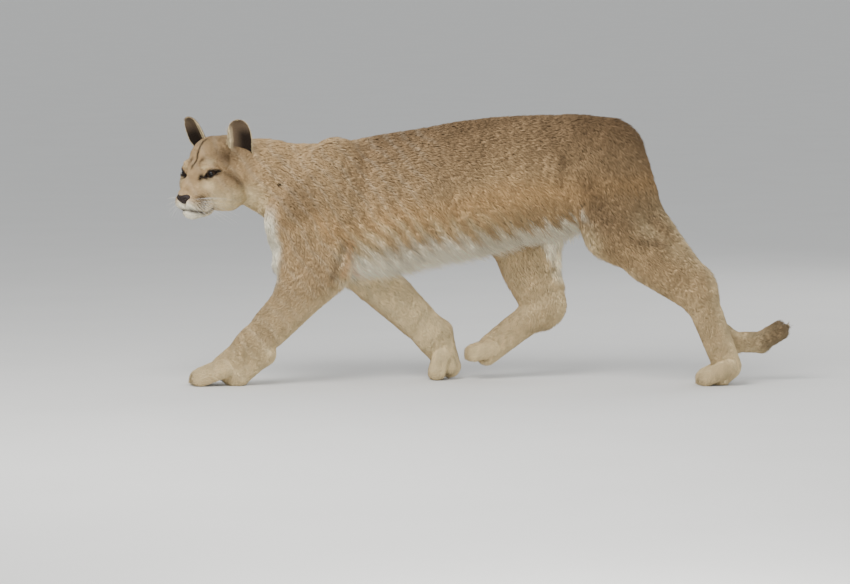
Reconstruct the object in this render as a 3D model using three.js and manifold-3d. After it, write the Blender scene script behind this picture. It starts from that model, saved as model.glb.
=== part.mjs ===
// A walking cougar at life size, as a still museum model, in millimetres with +Z up.
// It faces -X with its head turned to its own left, which is -Y. The outline is that of
// the tips of the coat. Every piece is cast from one field: the body's masses are soft
// blends of tapered limbs and ovals, and rays from each bone find where the coat ends.
import * as THREE from "three";
import Module from "manifold-3d";
import { mergeVertices } from "three/addons/utils/BufferGeometryUtils.js";

const wasm = await Module();
wasm.setup();
const { Manifold, Mesh: SolidMesh } = wasm;

// Driving dimensions
const GAP = 0.3; // between neighbouring pieces
const HEAD_TURN = 52; // degrees from straight ahead towards the animal's left
const EYES = [-597, -113, 566]; // the point midway between the eyes
const EYE_RADIUS = 17;
const EYE = [-6, 40, -2]; // ahead of, left of and above the point between the eyes
const EAR = {
  left: { base: [-100, 66, 46], tip: [-62, 82, 139], face: [0.79, 0.62, 0] },
  right: { base: [-107, -68, 46], tip: [-54, -82, 142], face: [0.98, -0.16, 0] },
  width: 68,
  thick: 7,
  roundness: 4, // of its tip: 2 is an ellipse, and more is blunter
};
const NOSE = { centre: [58, 0, -63], width: 47, height: 33, depth: 26 };
const MOUTH = { front: [70, -90], back: [-34, -106] }; // ahead and above, of the lip line
const SIDES = { left: -1, right: 1 }; // the sign of Y

// The bones' joints. The left and right legs are at different points of the stride.
const FORE = {
  left: {
    blade: [-242, -72, 587],
    shoulder: [-352, -84, 440],
    elbow: [-262, -96, 312],
    wrist: [-450, -88, 110],
    knuckle: [-530, -84, 48],
    toe: [-604, -82, 18],
    pad: [-498, -82, 21],
    wristPad: [-424, -86, 84],
    fold: [-350, -88, 268],
  },
  right: {
    blade: [-246, 72, 584],
    shoulder: [-335, 84, 430],
    elbow: [-170, 92, 300],
    wrist: [18, 78, 122],
    knuckle: [46, 74, 66],
    toe: [30, 72, 17],
    pad: [66, 74, 37],
    wristPad: [42, 78, 128],
    fold: [-270, 88, 372],
  },
};
const HIND = {
  left: {
    hip: [468, -64, 610],
    knee: [500, -92, 416],
    hock: [716, -80, 252],
    knuckle: [802, -76, 52],
    toe: [738, -74, 17],
    pad: [786, -76, 22],
    heel: [722, -80, 286],
    seat: [536, -78, 520],
  },
  right: {
    hip: [420, 64, 600],
    knee: [228, 88, 414],
    hock: [318, 80, 196],
    knuckle: [182, 74, 87],
    toe: [126, 72, 70],
    pad: [168, 74, 64],
    heel: [338, 80, 212],
    seat: [318, 78, 480],
  },
};
const TAIL = [
  [496, 0, 636],
  [536, 4, 585],
  [576, 10, 495],
  [621, 14, 404],
  [664, 18, 318],
  [706, 20, 236],
  [756, 22, 156],
  [822, 22, 106],
  [892, 20, 104],
  [940, 18, 132],
];
const NECK = [
  [-322, 0, 508],
  [-420, -6, 551],
  [-522, -26, 580],
];

// The trunk from chest to rump: place along X, top, bottom, half width.
const TRUNK = [
  [-325, 628, 330, 84],
  [-226, 648, 290, 108],
  [-120, 668, 294, 120],
  [-13, 684, 320, 125],
  [93, 703, 340, 124],
  [199, 715, 368, 116],
  [306, 720, 392, 106],
  [412, 718, 420, 100],
  [482, 700, 452, 90],
];
const CHEST_CAP = 84;
const RUMP_CAP = 78;

const mix = (a, b, t) => a + (b - a) * t;
const blendPoint = (a, b, t) => a.map((v, i) => mix(v, b[i], t));

// The smallest of two distances, rounded over where they are within k of each other.
function soften(a, b, k) {
  const h = Math.max(k - Math.abs(a - b), 0) / k;
  return Math.min(a, b) - h * h * k * 0.25;
}

// A limb tapers from radius ra at a to rb at b, and is flat times as wide across as deep.
const limb = (a, b, ra, rb, flat, k) => ({ a, b, ra, rb, flat, k });
function limbDistance({ a, b, ra, rb, flat }, [x, y, z]) {
  const u = [b[0] - a[0], (b[1] - a[1]) / flat, b[2] - a[2]];
  const v = [x - a[0], (y - a[1]) / flat, z - a[2]];
  const uu = u[0] * u[0] + u[1] * u[1] + u[2] * u[2];
  const t = Math.min(1, Math.max(0, (u[0] * v[0] + u[1] * v[1] + u[2] * v[2]) / uu));
  return Math.hypot(v[0] - u[0] * t, v[1] - u[1] * t, v[2] - u[2] * t) - mix(ra, rb, t);
}

// An oval has a centre and three radii. A head oval's are ahead, left and up.
const oval = (c, r, k, turned = false) => ({ c, r, k, turned });
const turn = THREE.MathUtils.degToRad(HEAD_TURN);
const AHEAD = [-Math.cos(turn), -Math.sin(turn), 0];
const LEFT = [Math.sin(turn), -Math.cos(turn), 0];
const headPoint = ([ahead, left, up]) =>
  EYES.map((v, i) => v + ahead * AHEAD[i] + left * LEFT[i] + (i === 2 ? up : 0));
function ovalDistance({ c, r, turned }, p) {
  let d = [p[0] - c[0], p[1] - c[1], p[2] - c[2]];
  if (turned) {
    d = [d[0] * AHEAD[0] + d[1] * AHEAD[1], d[0] * LEFT[0] + d[1] * LEFT[1], d[2]];
  }
  const near = Math.hypot(d[0] / r[0], d[1] / r[1], d[2] / r[2]);
  const slope = Math.hypot(d[0] / r[0] ** 2, d[1] / r[1] ** 2, d[2] / r[2] ** 2);
  return slope < 1e-9 ? -Math.min(...r) : (near * (near - 1)) / slope;
}

// Values between the trunk's stations follow a smooth curve through them.
function station(x) {
  let i = 0;
  while (i < TRUNK.length - 2 && x > TRUNK[i + 1][0]) i++;
  const at = (n) => TRUNK[Math.min(TRUNK.length - 1, Math.max(0, n))];
  const [p, q, r, s] = [at(i - 1), at(i), at(i + 1), at(i + 2)];
  const t = Math.min(1, Math.max(0, (x - q[0]) / (r[0] - q[0])));
  const curve = (n) => {
    const m0 = (r[n] - p[n]) / 2;
    const m1 = (s[n] - q[n]) / 2;
    const t2 = t * t;
    const t3 = t2 * t;
    return (
      (2 * t3 - 3 * t2 + 1) * q[n] +
      (t3 - 2 * t2 + t) * m0 +
      (-2 * t3 + 3 * t2) * r[n] +
      (t3 - t2) * m1
    );
  };
  return [curve(1), curve(2), curve(3)];
}

// The trunk's section is an egg, narrower at the spine, and its ends are rounded off.
function trunkDistance([x, y, z]) {
  const [first, last] = [TRUNK[0][0], TRUNK[TRUNK.length - 1][0]];
  const [top, bottom, half] = station(Math.min(last, Math.max(first, x)));
  const deep = (top - bottom) / 2;
  const up = (z - (top + bottom) / 2) / deep;
  const wide = half * (1 - 0.16 * up);
  const beyond = x < first ? (first - x) / CHEST_CAP : x > last ? (x - last) / RUMP_CAP : 0;
  return (Math.hypot(y / wide, up, beyond) - 1) * half;
}

// The masses of flesh and fur on the trunk, then those of each leg, the neck and head.
function shoulderMasses(j, sign) {
  return [
    limb(j.blade, j.shoulder, 66, 68, 0.62, 62),
    limb(blendPoint(j.blade, j.elbow, 0.3), j.elbow, 66, 46, 0.62, 54),
    limb([-354, 34 * sign, 398], [-360, 50 * sign, 330], 54, 50, 0.9, 40),
  ];
}

function haunchMasses(j) {
  const low = blendPoint(j.hip, j.knee, 0.55);
  return [
    limb([j.hip[0] - 20, j.hip[1], j.hip[2]], low, 92, 92, 0.56, 80),
    limb([j.hip[0] + 40, j.hip[1] * 0.8, j.hip[2] + 10], j.seat, 62, 66, 0.6, 62),
  ];
}

// Four toes side by side in front of a pad, each a short oval limb.
function toeMasses(from, to, spread, radius) {
  return [-1.5, -0.5, 0.5, 1.5].map((n) => {
    const tip = blendPoint(from, to, 1 - 0.1 * Math.abs(n));
    const root = [from[0], from[1] + n * spread * 0.8, from[2]];
    return limb(root, [tip[0], tip[1] + n * spread, tip[2]], radius * 1.1, radius, 0.68, 4);
  });
}

function foreMasses(j) {
  const swell = blendPoint(j.elbow, j.wrist, 0.2);
  return [
    limb(j.shoulder, j.elbow, 66, 52, 0.78, 36),
    limb(blendPoint(j.shoulder, j.elbow, 0.3), j.fold, 50, 44, 0.8, 30),
    limb(j.elbow, j.wrist, 58, 46, 0.8, 30),
    limb(swell, blendPoint(j.elbow, j.wrist, 0.75), 60, 47, 0.82, 20),
    limb(j.wrist, j.knuckle, 44, 36, 1.05, 18),
    limb(j.wristPad, blendPoint(j.wristPad, j.wrist, 0.5), 24, 24, 1, 18),
    limb(j.wristPad, j.pad, 28, 29, 1.1, 16),
    limb(j.pad, blendPoint(j.pad, j.knuckle, 0.4), 27, 27, 1.25, 12),
    ...toeMasses(j.knuckle, j.toe, 23, 24),
  ];
}

function hindMasses(j) {
  return [
    limb(blendPoint(j.hip, j.knee, 0.3), j.knee, 96, 76, 0.6, 40),
    limb(j.knee, j.hock, 80, 53, 0.68, 34),
    limb(j.seat, j.heel, 54, 27, 0.62, 36),
    limb(blendPoint(j.knee, j.hock, 0.45), j.hock, 68, 48, 0.62, 24),
    limb(j.heel, j.knuckle, 32, 30, 0.86, 20),
    limb(j.hock, j.knuckle, 42, 35, 0.86, 20),
    limb(j.pad, blendPoint(j.pad, j.knuckle, 0.4), 27, 27, 1.15, 12),
    ...toeMasses(j.knuckle, j.toe, 21, 23),
  ];
}

const both = (c, r, k) => [
  oval(headPoint(c), r, k, true),
  oval(headPoint([c[0], -c[1], c[2]]), r, k, true),
];
const middle = (c, r, k) => oval(headPoint(c), r, k, true);

const HEAD_MASSES = [
  middle([-62, 0, 26], [72, 61, 70], 20),
  middle([-112, 0, 10], [56, 66, 68], 30),
  ...both([-4, 27, 20], [25, 22, 15], 16),
  middle([2, 0, -2], [34, 26, 30], 16),
  middle([30, 0, -28], [34, 19, 20], 14),
  middle([6, 0, -56], [48, 44, 34], 20),
  ...both([38, 18, -72], [27, 20, 22], 12),
  middle([56, 0, -54], [16, 19, 16], 10),
  middle([28, 0, -100], [24, 22, 20], 12),
  middle([0, 0, -94], [46, 36, 24], 16),
  ...both([-34, 46, -30], [46, 32, 38], 20),
  ...both([-66, 46, -52], [56, 36, 50], 24),
  middle([-96, 0, -56], [60, 54, 50], 26),
];

const NECK_MASSES = [
  limb(NECK[0], NECK[1], 120, 93, 0.8, 50),
  limb(NECK[1], NECK[2], 93, 82, 0.84, 30),
  limb([-338, 0, 460], [-356, 0, 396], 78, 60, 0.8, 36),
];

const BODY_MASSES = [
  ...Object.entries(SIDES).flatMap(([side, sign]) => shoulderMasses(FORE[side], sign)),
  ...Object.keys(SIDES).flatMap((side) => haunchMasses(HIND[side])),
];
const LEG_MASSES = [
  ...Object.keys(SIDES).flatMap((side) => foreMasses(FORE[side])),
  ...Object.keys(SIDES).flatMap((side) => hindMasses(HIND[side])),
];
const TAIL_MASSES = TAIL.slice(1).map((end, n) =>
  limb(TAIL[n], end, tailRadius(n), tailRadius(n + 1), 1, n < 2 ? 24 : 6),
);

function tailRadius(n) {
  const share = n / (TAIL.length - 1);
  return share < 0.12 ? 42 : mix(36, 27, share);
}

const distanceTo = (mass, p) => (mass.c ? ovalDistance(mass, p) : limbDistance(mass, p));

// A field is the soft blend of the trunk, if it has one, and its masses.
function field(masses, withTrunk = true) {
  return (p) => {
    let d = withTrunk ? trunkDistance(p) : 1e4;
    for (const mass of masses) {
      d = soften(d, distanceTo(mass, p), mass.k);
    }
    return d;
  };
}

const trunkField = field([...BODY_MASSES, ...NECK_MASSES]);
const tailField = field(TAIL_MASSES, false);
const wholeField = field([
  ...BODY_MASSES,
  ...NECK_MASSES,
  ...HEAD_MASSES,
  ...LEG_MASSES,
  ...TAIL_MASSES,
]);

// How far along a ray from the bone the coat ends, no further than reach.
function rayLength(at, from, way, reach, grow) {
  const point = (d) => [from[0] + way[0] * d, from[1] + way[1] * d, from[2] + way[2] * d];
  let inside = 0;
  let outside = 0;
  while (outside < reach) {
    outside += 4;
    if (at(point(outside)) > grow) break;
    inside = outside;
  }
  if (inside >= reach) return reach;
  for (let n = 0; n < 14; n++) {
    const middleway = (inside + outside) / 2;
    if (at(point(middleway)) > grow) outside = middleway;
    else inside = middleway;
  }
  return Math.min(reach, inside);
}

// A closed body of rings of rays round a bone's line, with a fan of rays at each end.
function cast({ line, rings, sides, reach, at = wholeField, up = [0, 1, 0], grow = 0, fan = 4 }) {
  const curve = new THREE.CatmullRomCurve3(line.map((p) => new THREE.Vector3(...p)));
  const positions = [];
  const index = [];
  const addRing = (t, lean) => {
    const centre = curve.getPointAt(t);
    const along = curve.getTangentAt(t);
    const across = new THREE.Vector3(...up).cross(along).normalize();
    const over = along.clone().cross(across);
    for (let n = 0; n < sides; n++) {
      const angle = (2 * Math.PI * n) / sides;
      const way = across
        .clone()
        .multiplyScalar(Math.cos(angle))
        .addScaledVector(over, Math.sin(angle))
        .multiplyScalar(Math.cos(lean))
        .addScaledVector(along, Math.sin(lean));
      const d = rayLength(at, centre.toArray(), way.toArray(), reach, grow);
      positions.push(...centre.clone().addScaledVector(way, d).toArray());
    }
  };
  const addPole = (t, sign) => {
    const centre = curve.getPointAt(t);
    const way = curve.getTangentAt(t).multiplyScalar(sign);
    const d = rayLength(at, centre.toArray(), way.toArray(), reach, grow);
    positions.push(...centre.addScaledVector(way, d).toArray());
  };
  addPole(0, -1);
  for (let n = fan - 1; n > 0; n--) addRing(0, (-n / fan) * (Math.PI / 2));
  for (let n = 0; n <= rings; n++) addRing(n / rings, 0);
  for (let n = 1; n < fan; n++) addRing(1, (n / fan) * (Math.PI / 2));
  addPole(1, 1);
  const ringCount = rings + 1 + 2 * (fan - 1);
  const vertex = (ring, n) => 1 + ring * sides + (n % sides);
  for (let n = 0; n < sides; n++) {
    index.push(0, vertex(0, n + 1), vertex(0, n));
    for (let ring = 0; ring < ringCount - 1; ring++) {
      const [a, b] = [vertex(ring, n), vertex(ring, n + 1)];
      const [c, d] = [vertex(ring + 1, n), vertex(ring + 1, n + 1)];
      index.push(a, b, c, b, d, c);
    }
    index.push(1 + ringCount * sides, vertex(ringCount - 1, n), vertex(ringCount - 1, n + 1));
  }
  return geometryOf(positions, index);
}

function geometryOf(positions, index) {
  const geometry = new THREE.BufferGeometry();
  geometry.setAttribute("position", new THREE.Float32BufferAttribute(positions, 3));
  geometry.setIndex(index);
  return geometry;
}

// Solids for joining and cutting
function solid(geometry) {
  const bare = geometry.clone();
  bare.deleteAttribute("normal");
  bare.deleteAttribute("uv");
  const merged = mergeVertices(bare, 1e-3);
  return new Manifold(
    new SolidMesh({
      numProp: 3,
      vertProperties: new Float32Array(merged.attributes.position.array),
      triVerts: new Uint32Array(merged.index.array),
    }),
  );
}

// Everything on the side of a plane that its normal points to, kept off it by off.
function half(point, normal, off = GAP / 2) {
  const size = 3000;
  const box = new THREE.BoxGeometry(size, size, size);
  const way = new THREE.Vector3(...normal).normalize();
  const turned = new THREE.Quaternion().setFromUnitVectors(new THREE.Vector3(0, 0, 1), way);
  box.applyQuaternion(turned);
  const centre = new THREE.Vector3(...point).addScaledVector(way, size / 2 + off);
  box.translate(centre.x, centre.y, centre.z);
  return solid(box);
}

const largest = (made) =>
  made.decompose().reduce((best, one) => (one.volume() > best.volume() ? one : best));
const minus = (a, b) => [a[0] - b[0], a[1] - b[1], a[2] - b[2]];
const unit = (v) => {
  const length = Math.hypot(...v);
  return v.map((x) => x / length);
};
// The plane that halves the bend at joint b of a, b, c.
const bend = (a, b, c) => {
  const [u, v] = [unit(minus(b, a)), unit(minus(c, b))];
  return { point: b, normal: [u[0] + v[0], u[1] + v[1], u[2] + v[2]] };
};
const after = (cut) => half(cut.point, cut.normal);
const before = (cut) => half(cut.point, cut.normal.map((x) => -x));
const FLOOR = half([0, 0, 0], [0, 0, 1], 0);

const COAT = {
  tan: { color: 0xa98c6c, roughness: 0.95 },
  pale: { color: 0xcdbb9d, roughness: 0.95 },
  brown: { color: 0x8d7156, roughness: 0.95 },
  ear: { color: 0x5b4c42, roughness: 0.95 },
  nose: { color: 0x4a322c, roughness: 0.5 },
  eye: { color: 0x2a2118, roughness: 0.1 },
};
const group = new THREE.Group();
function add(name, made, look) {
  const { vertProperties, triVerts } = made.getMesh();
  const geometry = geometryOf(Array.from(vertProperties), Array.from(triVerts));
  geometry.computeVertexNormals();
  const material = new THREE.MeshStandardMaterial({ ...COAT[look], metalness: 0 });
  const mesh = new THREE.Mesh(geometry, material);
  mesh.name = name;
  group.add(mesh);
}

// Where each leg leaves the body: below a plane across its upper bone, between a plane
// that runs down the flank and the body, and outside a plane beside the midline.
const REGION = {
  fore: {
    left: { share: 0.12, flank: [-182, 350], lean: [-1, -0.35], inner: 34 },
    right: { share: 0.25, flank: [-84, 350], lean: [-1, -0.35], inner: 34 },
  },
  hind: {
    left: { share: 0.5, flank: [392, 440], lean: [0.85, 0.52], inner: 12 },
    right: { share: 0.42, flank: [268, 560], lean: [0.72, -0.69], inner: 28 },
  },
};
function legRegion(upper, lower, { share, flank, lean, inner }, sign, off) {
  const normal = minus(lower, upper);
  return half(blendPoint(upper, lower, share), [normal[0], 0, normal[2]], off)
    .intersect(half([flank[0], 0, flank[1]], [lean[0], 0, lean[1]], off))
    .intersect(half([0, inner * sign, 0], [0, sign, 0], off));
}
const eachLeg = Object.entries(SIDES).flatMap(([side, sign]) => [
  { side, sign, at: REGION.fore[side], bone: [FORE[side].shoulder, FORE[side].elbow] },
  { side, sign, at: REGION.hind[side], bone: [HIND[side].hip, HIND[side].knee] },
]);
const withoutLegs = (made, off = -GAP / 2) =>
  eachLeg.reduce(
    (rest, { at, sign, bone }) => rest.subtract(legRegion(...bone, at, sign, off)),
    made,
  );

// The trunk, in three lengths, and the neck, which starts at a slope up to the withers.
const trunkLine = TRUNK.map(([x, top, bottom]) => [x, 0, mix(bottom, top, 0.5)]);
const trunkShape = { line: trunkLine, rings: 15, sides: 20, reach: 260, at: trunkField, fan: 5 };
const trunk = withoutLegs(solid(cast(trunkShape)));
const trunkRoom = solid(cast({ ...trunkShape, grow: GAP }));
const bodyRoom = withoutLegs(trunkRoom, GAP / 2);
const collar = { point: [-338, 0, 500], normal: [0.955, 0, -0.3] };
const loin = { point: [-70, 0, 0], normal: [1, 0, 0] };
const croup = { point: [300, 0, 0], normal: [1, 0, 0] };
add("chest", largest(trunk.intersect(after(collar)).intersect(before(loin))), "tan");
add("belly", largest(trunk.intersect(after(loin)).intersect(before(croup))), "tan");
add("rump", largest(trunk.intersect(after(croup))), "brown");

const nape = { point: [-492, -20, 560], normal: unit([-0.94, -0.34, 0]) };
const neckShape = { line: NECK, rings: 7, sides: 20, reach: 220 };
const neck = withoutLegs(solid(cast(neckShape)));
add("neck", largest(neck.intersect(before(collar)).intersect(before(nape))), "tan");

const headLine = [
  [-104, 0, -6],
  [-60, 0, -8],
  [-12, 0, -32],
  [30, 0, -64],
].map(headPoint);
const headShape = { line: headLine, rings: 10, sides: 20, reach: 140, up: [0, 0, 1], fan: 4 };
const skull = solid(cast(headShape)).intersect(after(nape));
const skullRoom = solid(cast({ ...headShape, grow: GAP })).add(solid(cast(neckShape)));

// A head piece is modelled ahead, left and up of the point between the eyes.
const headMatrix = new THREE.Matrix4()
  .makeBasis(
    new THREE.Vector3(...AHEAD),
    new THREE.Vector3(...LEFT),
    new THREE.Vector3(0, 0, 1),
  )
  .setPosition(...EYES);
const placed = (geometry) => solid(geometry.applyMatrix4(headMatrix));

function eyeball(sign, radius) {
  const ball = new THREE.SphereGeometry(radius, 14, 9);
  return placed(ball.translate(EYE[0], EYE[1] * sign, EYE[2]));
}

// The nose leather is a rounded wedge, broad above and narrow at the groove below.
function nosePad(grow) {
  const { centre, width, height, depth } = NOSE;
  const ball = new THREE.SphereGeometry(1, 12, 9);
  const p = ball.attributes.position;
  for (let n = 0; n < p.count; n++) {
    const [x, y, z] = [p.getX(n), p.getY(n), p.getZ(n)];
    const narrow = 1 - 0.58 * Math.max(0, -z) - 0.1 * z;
    p.setXYZ(n, x * (depth / 2 + grow), y * (width / 2 + grow) * narrow, z * (height / 2 + grow));
  }
  return placed(ball.rotateY(0.25).translate(...centre));
}

// The jaw is what lies under the lip line.
function jawRoom(grow) {
  const { front, back } = MOUTH;
  const long = 160;
  const box = new THREE.BoxGeometry(long + 2 * grow, 200, 100);
  const slope = Math.atan2(front[1] - back[1], front[0] - back[0]);
  box.translate(long / 2, 0, -50 + grow);
  box.rotateY(-slope);
  return placed(box.translate(back[0], 0, back[1]));
}

// An ear is a cupped leaf. Its edge runs up one side, round the tip and down the other.
function earShell(shape) {
  const base = new THREE.Vector3(...shape.base);
  const up = new THREE.Vector3(...shape.tip).sub(base);
  const length = up.length();
  up.normalize();
  const face = new THREE.Vector3(...shape.face);
  face.addScaledVector(up, -face.dot(up)).normalize();
  const side = up.clone().cross(face);
  const [rows, columns, root] = [7, 8, -0.16];
  const sheet = (thick) => {
    const points = [];
    for (let i = 0; i <= rows; i++) {
      const s = mix(root, 1, Math.sin((i / rows) * (Math.PI / 2)));
      const above = Math.max(0, (s - 0.2) / 0.8);
      const halfWidth = (EAR.width / 2) * Math.max(0.06, Math.sqrt(1 - above ** EAR.roundness));
      const cup = mix(1.25, 0.55, Math.max(0, s));
      for (let j = 0; j <= columns; j++) {
        const a = (j / columns - 0.5) * 2 * cup;
        const r = halfWidth / Math.sin(cup);
        const depth = (1 - Math.cos(a)) * r;
        points.push(
          base
            .clone()
            .addScaledVector(up, s * length)
            .addScaledVector(side, Math.sin(a) * r)
            .addScaledVector(face, depth - halfWidth * 0.35 + thick),
        );
      }
    }
    return points;
  };
  const [inner, outer] = [sheet(EAR.thick / 2), sheet(-EAR.thick / 2)];
  const positions = [...inner, ...outer].flatMap((p) => p.toArray());
  const index = [];
  const across = columns + 1;
  const back = inner.length;
  const quad = (a, b, c, d) => index.push(a, b, c, a, c, d);
  for (let i = 0; i < rows; i++) {
    for (let j = 0; j < columns; j++) {
      const a = i * across + j;
      quad(a, a + 1, a + 1 + across, a + across);
      quad(back + a + across, back + a + 1 + across, back + a + 1, back + a);
    }
    const [l, r] = [i * across, i * across + columns];
    quad(l, l + across, back + l + across, back + l);
    quad(back + r, back + r + across, r + across, r);
  }
  const last = rows * across;
  for (let j = 0; j < columns; j++) {
    quad(back + j, back + j + 1, j + 1, j);
    quad(last + j, last + j + 1, back + last + j + 1, back + last + j);
  }
  return placed(geometryOf(positions, index));
}

const skullWithEyes = Object.values(SIDES).reduce(
  (made, sign) => made.subtract(eyeball(-sign, EYE_RADIUS + GAP)),
  skull.subtract(nosePad(GAP)),
);
add("head", largest(skullWithEyes.subtract(jawRoom(GAP))), "tan");
add("lower_jaw", largest(skullWithEyes.intersect(jawRoom(0))), "pale");
add("nose", nosePad(0), "nose");
for (const [side, sign] of Object.entries(SIDES)) {
  add(`eye_${side}`, eyeball(-sign, EYE_RADIUS), "eye");
  add(`ear_${side}`, largest(earShell(EAR[side]).subtract(skullRoom)), "ear");
}

// A leg is cast bone by bone and parted where the joints bend.
const thighRooms = [];
function legPieces(side, sign, region, joints, masses, lengths) {
  const at = field([...BODY_MASSES, ...NECK_MASSES, ...masses]);
  lengths.forEach(({ name, bone, reach, sides, rings }, n) => {
    const [a, b] = bone.map((joint) => joints[joint]);
    const shape = { line: [a, b], rings, sides, reach, at };
    let made = solid(cast(shape));
    if (name === "thigh") thighRooms.push(solid(cast({ ...shape, grow: GAP })));
    if (n === 0) {
      made = made.intersect(legRegion(a, b, region, sign, GAP / 2));
    } else {
      made = made.intersect(after(cutAt(joints, lengths[n - 1], lengths[n]))).subtract(bodyRoom);
    }
    if (n < lengths.length - 1) {
      made = made.intersect(before(cutAt(joints, lengths[n], lengths[n + 1])));
    }
    add(`${name}_${side}`, largest(made.intersect(FLOOR)), n < 2 ? "tan" : "pale");
  });
}
const cutAt = (joints, upper, lower) =>
  bend(joints[upper.bone[0]], joints[upper.bone[1]], joints[lower.bone[1]]);

const FORE_LENGTHS = [
  { name: "upper_arm", bone: ["shoulder", "elbow"], reach: 200, sides: 18, rings: 5 },
  { name: "forearm", bone: ["elbow", "wrist"], reach: 95, sides: 14, rings: 5 },
  { name: "forepaw", bone: ["wrist", "toe"], reach: 80, sides: 17, rings: 7 },
];
const HIND_LENGTHS = [
  { name: "thigh", bone: ["hip", "knee"], reach: 230, sides: 20, rings: 6 },
  { name: "lower_leg", bone: ["knee", "hock"], reach: 120, sides: 16, rings: 6 },
  { name: "metatarsus", bone: ["hock", "knuckle"], reach: 80, sides: 14, rings: 5 },
  { name: "hindpaw", bone: ["knuckle", "toe"], reach: 80, sides: 18, rings: 4 },
];
for (const [side, sign] of Object.entries(SIDES)) {
  const [fore, hind] = [FORE[side], HIND[side]];
  legPieces(side, sign, REGION.fore[side], fore, foreMasses(fore), FORE_LENGTHS);
  legPieces(side, sign, REGION.hind[side], hind, hindMasses(hind), HIND_LENGTHS);
}

// The tail hangs from the rump in three lengths.
const tail = solid(cast({ line: TAIL, rings: 18, sides: 9, reach: 80, at: tailField }));
const tailCuts = [3, 6].map((n) => bend(TAIL[n - 1], TAIL[n], TAIL[n + 1]));
const tailRoot = thighRooms.reduce((rest, room) => rest.subtract(room), tail.subtract(trunkRoom));
add("tail_root", largest(tailRoot.intersect(before(tailCuts[0]))), "tan");
add("tail_middle", tail.intersect(after(tailCuts[0])).intersect(before(tailCuts[1])), "tan");
add("tail_tip", tail.intersect(after(tailCuts[1])), "brown");

// The origin is on the floor under the middle of the whole outline.
const whole = new THREE.Box3().setFromObject(group);
const middlePoint = whole.getCenter(new THREE.Vector3());
group.position.set(-middlePoint.x, -middlePoint.y, -whole.min.z);

export default group;
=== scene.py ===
# %% [markdown]
# # A walking cougar
# A museum-type cougar is built here in layers, as a taxidermist's model is: a form in the
# animal's shape, glass eyes, a nose, and a coat laid over the form tuft by tuft. The CAD
# solids of the frame give the outline at the tips of the hair. The skin lies inside them
# by the coat's depth, and the tufts reach back out to them.
#
# The first cell loads that frame.

# %% Load the frame
import math

import bpy
import numpy as np
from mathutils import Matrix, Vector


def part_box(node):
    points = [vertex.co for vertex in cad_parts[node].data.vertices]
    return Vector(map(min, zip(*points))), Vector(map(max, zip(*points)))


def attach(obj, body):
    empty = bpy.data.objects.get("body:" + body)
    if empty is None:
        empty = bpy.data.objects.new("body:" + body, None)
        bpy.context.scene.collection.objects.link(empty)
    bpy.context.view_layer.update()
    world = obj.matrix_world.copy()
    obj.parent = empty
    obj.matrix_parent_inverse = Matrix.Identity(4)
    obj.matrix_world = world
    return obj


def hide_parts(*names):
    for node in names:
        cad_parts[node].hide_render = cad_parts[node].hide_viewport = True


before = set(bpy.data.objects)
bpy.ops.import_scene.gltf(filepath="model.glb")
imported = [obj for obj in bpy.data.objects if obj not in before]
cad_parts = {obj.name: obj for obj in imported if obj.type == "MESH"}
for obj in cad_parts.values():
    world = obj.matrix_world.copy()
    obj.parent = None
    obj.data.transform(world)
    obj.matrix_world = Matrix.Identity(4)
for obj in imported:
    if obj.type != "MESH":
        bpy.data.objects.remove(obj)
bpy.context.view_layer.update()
MM = 0.001
draw = np.random.default_rng(7)

# %% [markdown]
# ## The form as one field
# Soft animals are awkward to model face by face, because limbs melt into the trunk. Here
# the form is a field: a number at each place that is negative inside. Each muscle or bone
# is a tapered limb or an oval, and neighbours are blended, so the field has no seams. The
# joints are the walking pose, in millimetres, in the modelling frame: the animal faces -X
# and its left is -Y. The CAD solids come from nearly the same masses.

# %% Joints of the pose
HEAD_TURN = math.radians(52)
EYES = np.array([-597.0, -113.0, 566.0])
AHEAD = np.array([-math.cos(HEAD_TURN), -math.sin(HEAD_TURN), 0.0])
LEFT = np.array([math.sin(HEAD_TURN), -math.cos(HEAD_TURN), 0.0])
UP = np.array([0.0, 0.0, 1.0])
SIDES = {"left": -1, "right": 1}
FORE = {
    "left": dict(
        blade=(-242, -72, 587), shoulder=(-352, -84, 440), elbow=(-262, -96, 312),
        wrist=(-450, -88, 110), knuckle=(-530, -84, 48), toe=(-604, -82, 18),
        pad=(-498, -82, 21), wrist_pad=(-424, -86, 84), fold=(-350, -88, 268),
    ),
    "right": dict(
        blade=(-246, 72, 584), shoulder=(-335, 84, 430), elbow=(-170, 92, 300),
        wrist=(18, 78, 122), knuckle=(46, 74, 66), toe=(30, 72, 17),
        pad=(66, 74, 37), wrist_pad=(42, 78, 128), fold=(-270, 88, 372),
    ),
}
HIND = {
    "left": dict(
        hip=(468, -64, 610), knee=(500, -92, 416), hock=(716, -80, 252),
        knuckle=(802, -76, 52), toe=(738, -74, 17), pad=(786, -76, 22),
        heel=(722, -80, 286), seat=(536, -78, 520),
    ),
    "right": dict(
        hip=(420, 64, 600), knee=(228, 88, 414), hock=(318, 80, 196),
        knuckle=(182, 74, 87), toe=(126, 72, 70), pad=(168, 74, 64),
        heel=(338, 80, 212), seat=(318, 78, 480),
    ),
}
for pair in (FORE, HIND):
    for side in pair:
        pair[side] = {name: np.array(at, float) for name, at in pair[side].items()}
NECK = np.array([(-322, 0, 508), (-420, -6, 551), (-522, -26, 580)], float)
TAIL = np.array([
    (496, 0, 636), (536, 4, 585), (576, 10, 495), (621, 14, 404), (664, 18, 318),
    (706, 20, 236), (756, 22, 156), (822, 22, 106), (892, 20, 104), (940, 18, 132),
], float)
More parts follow.
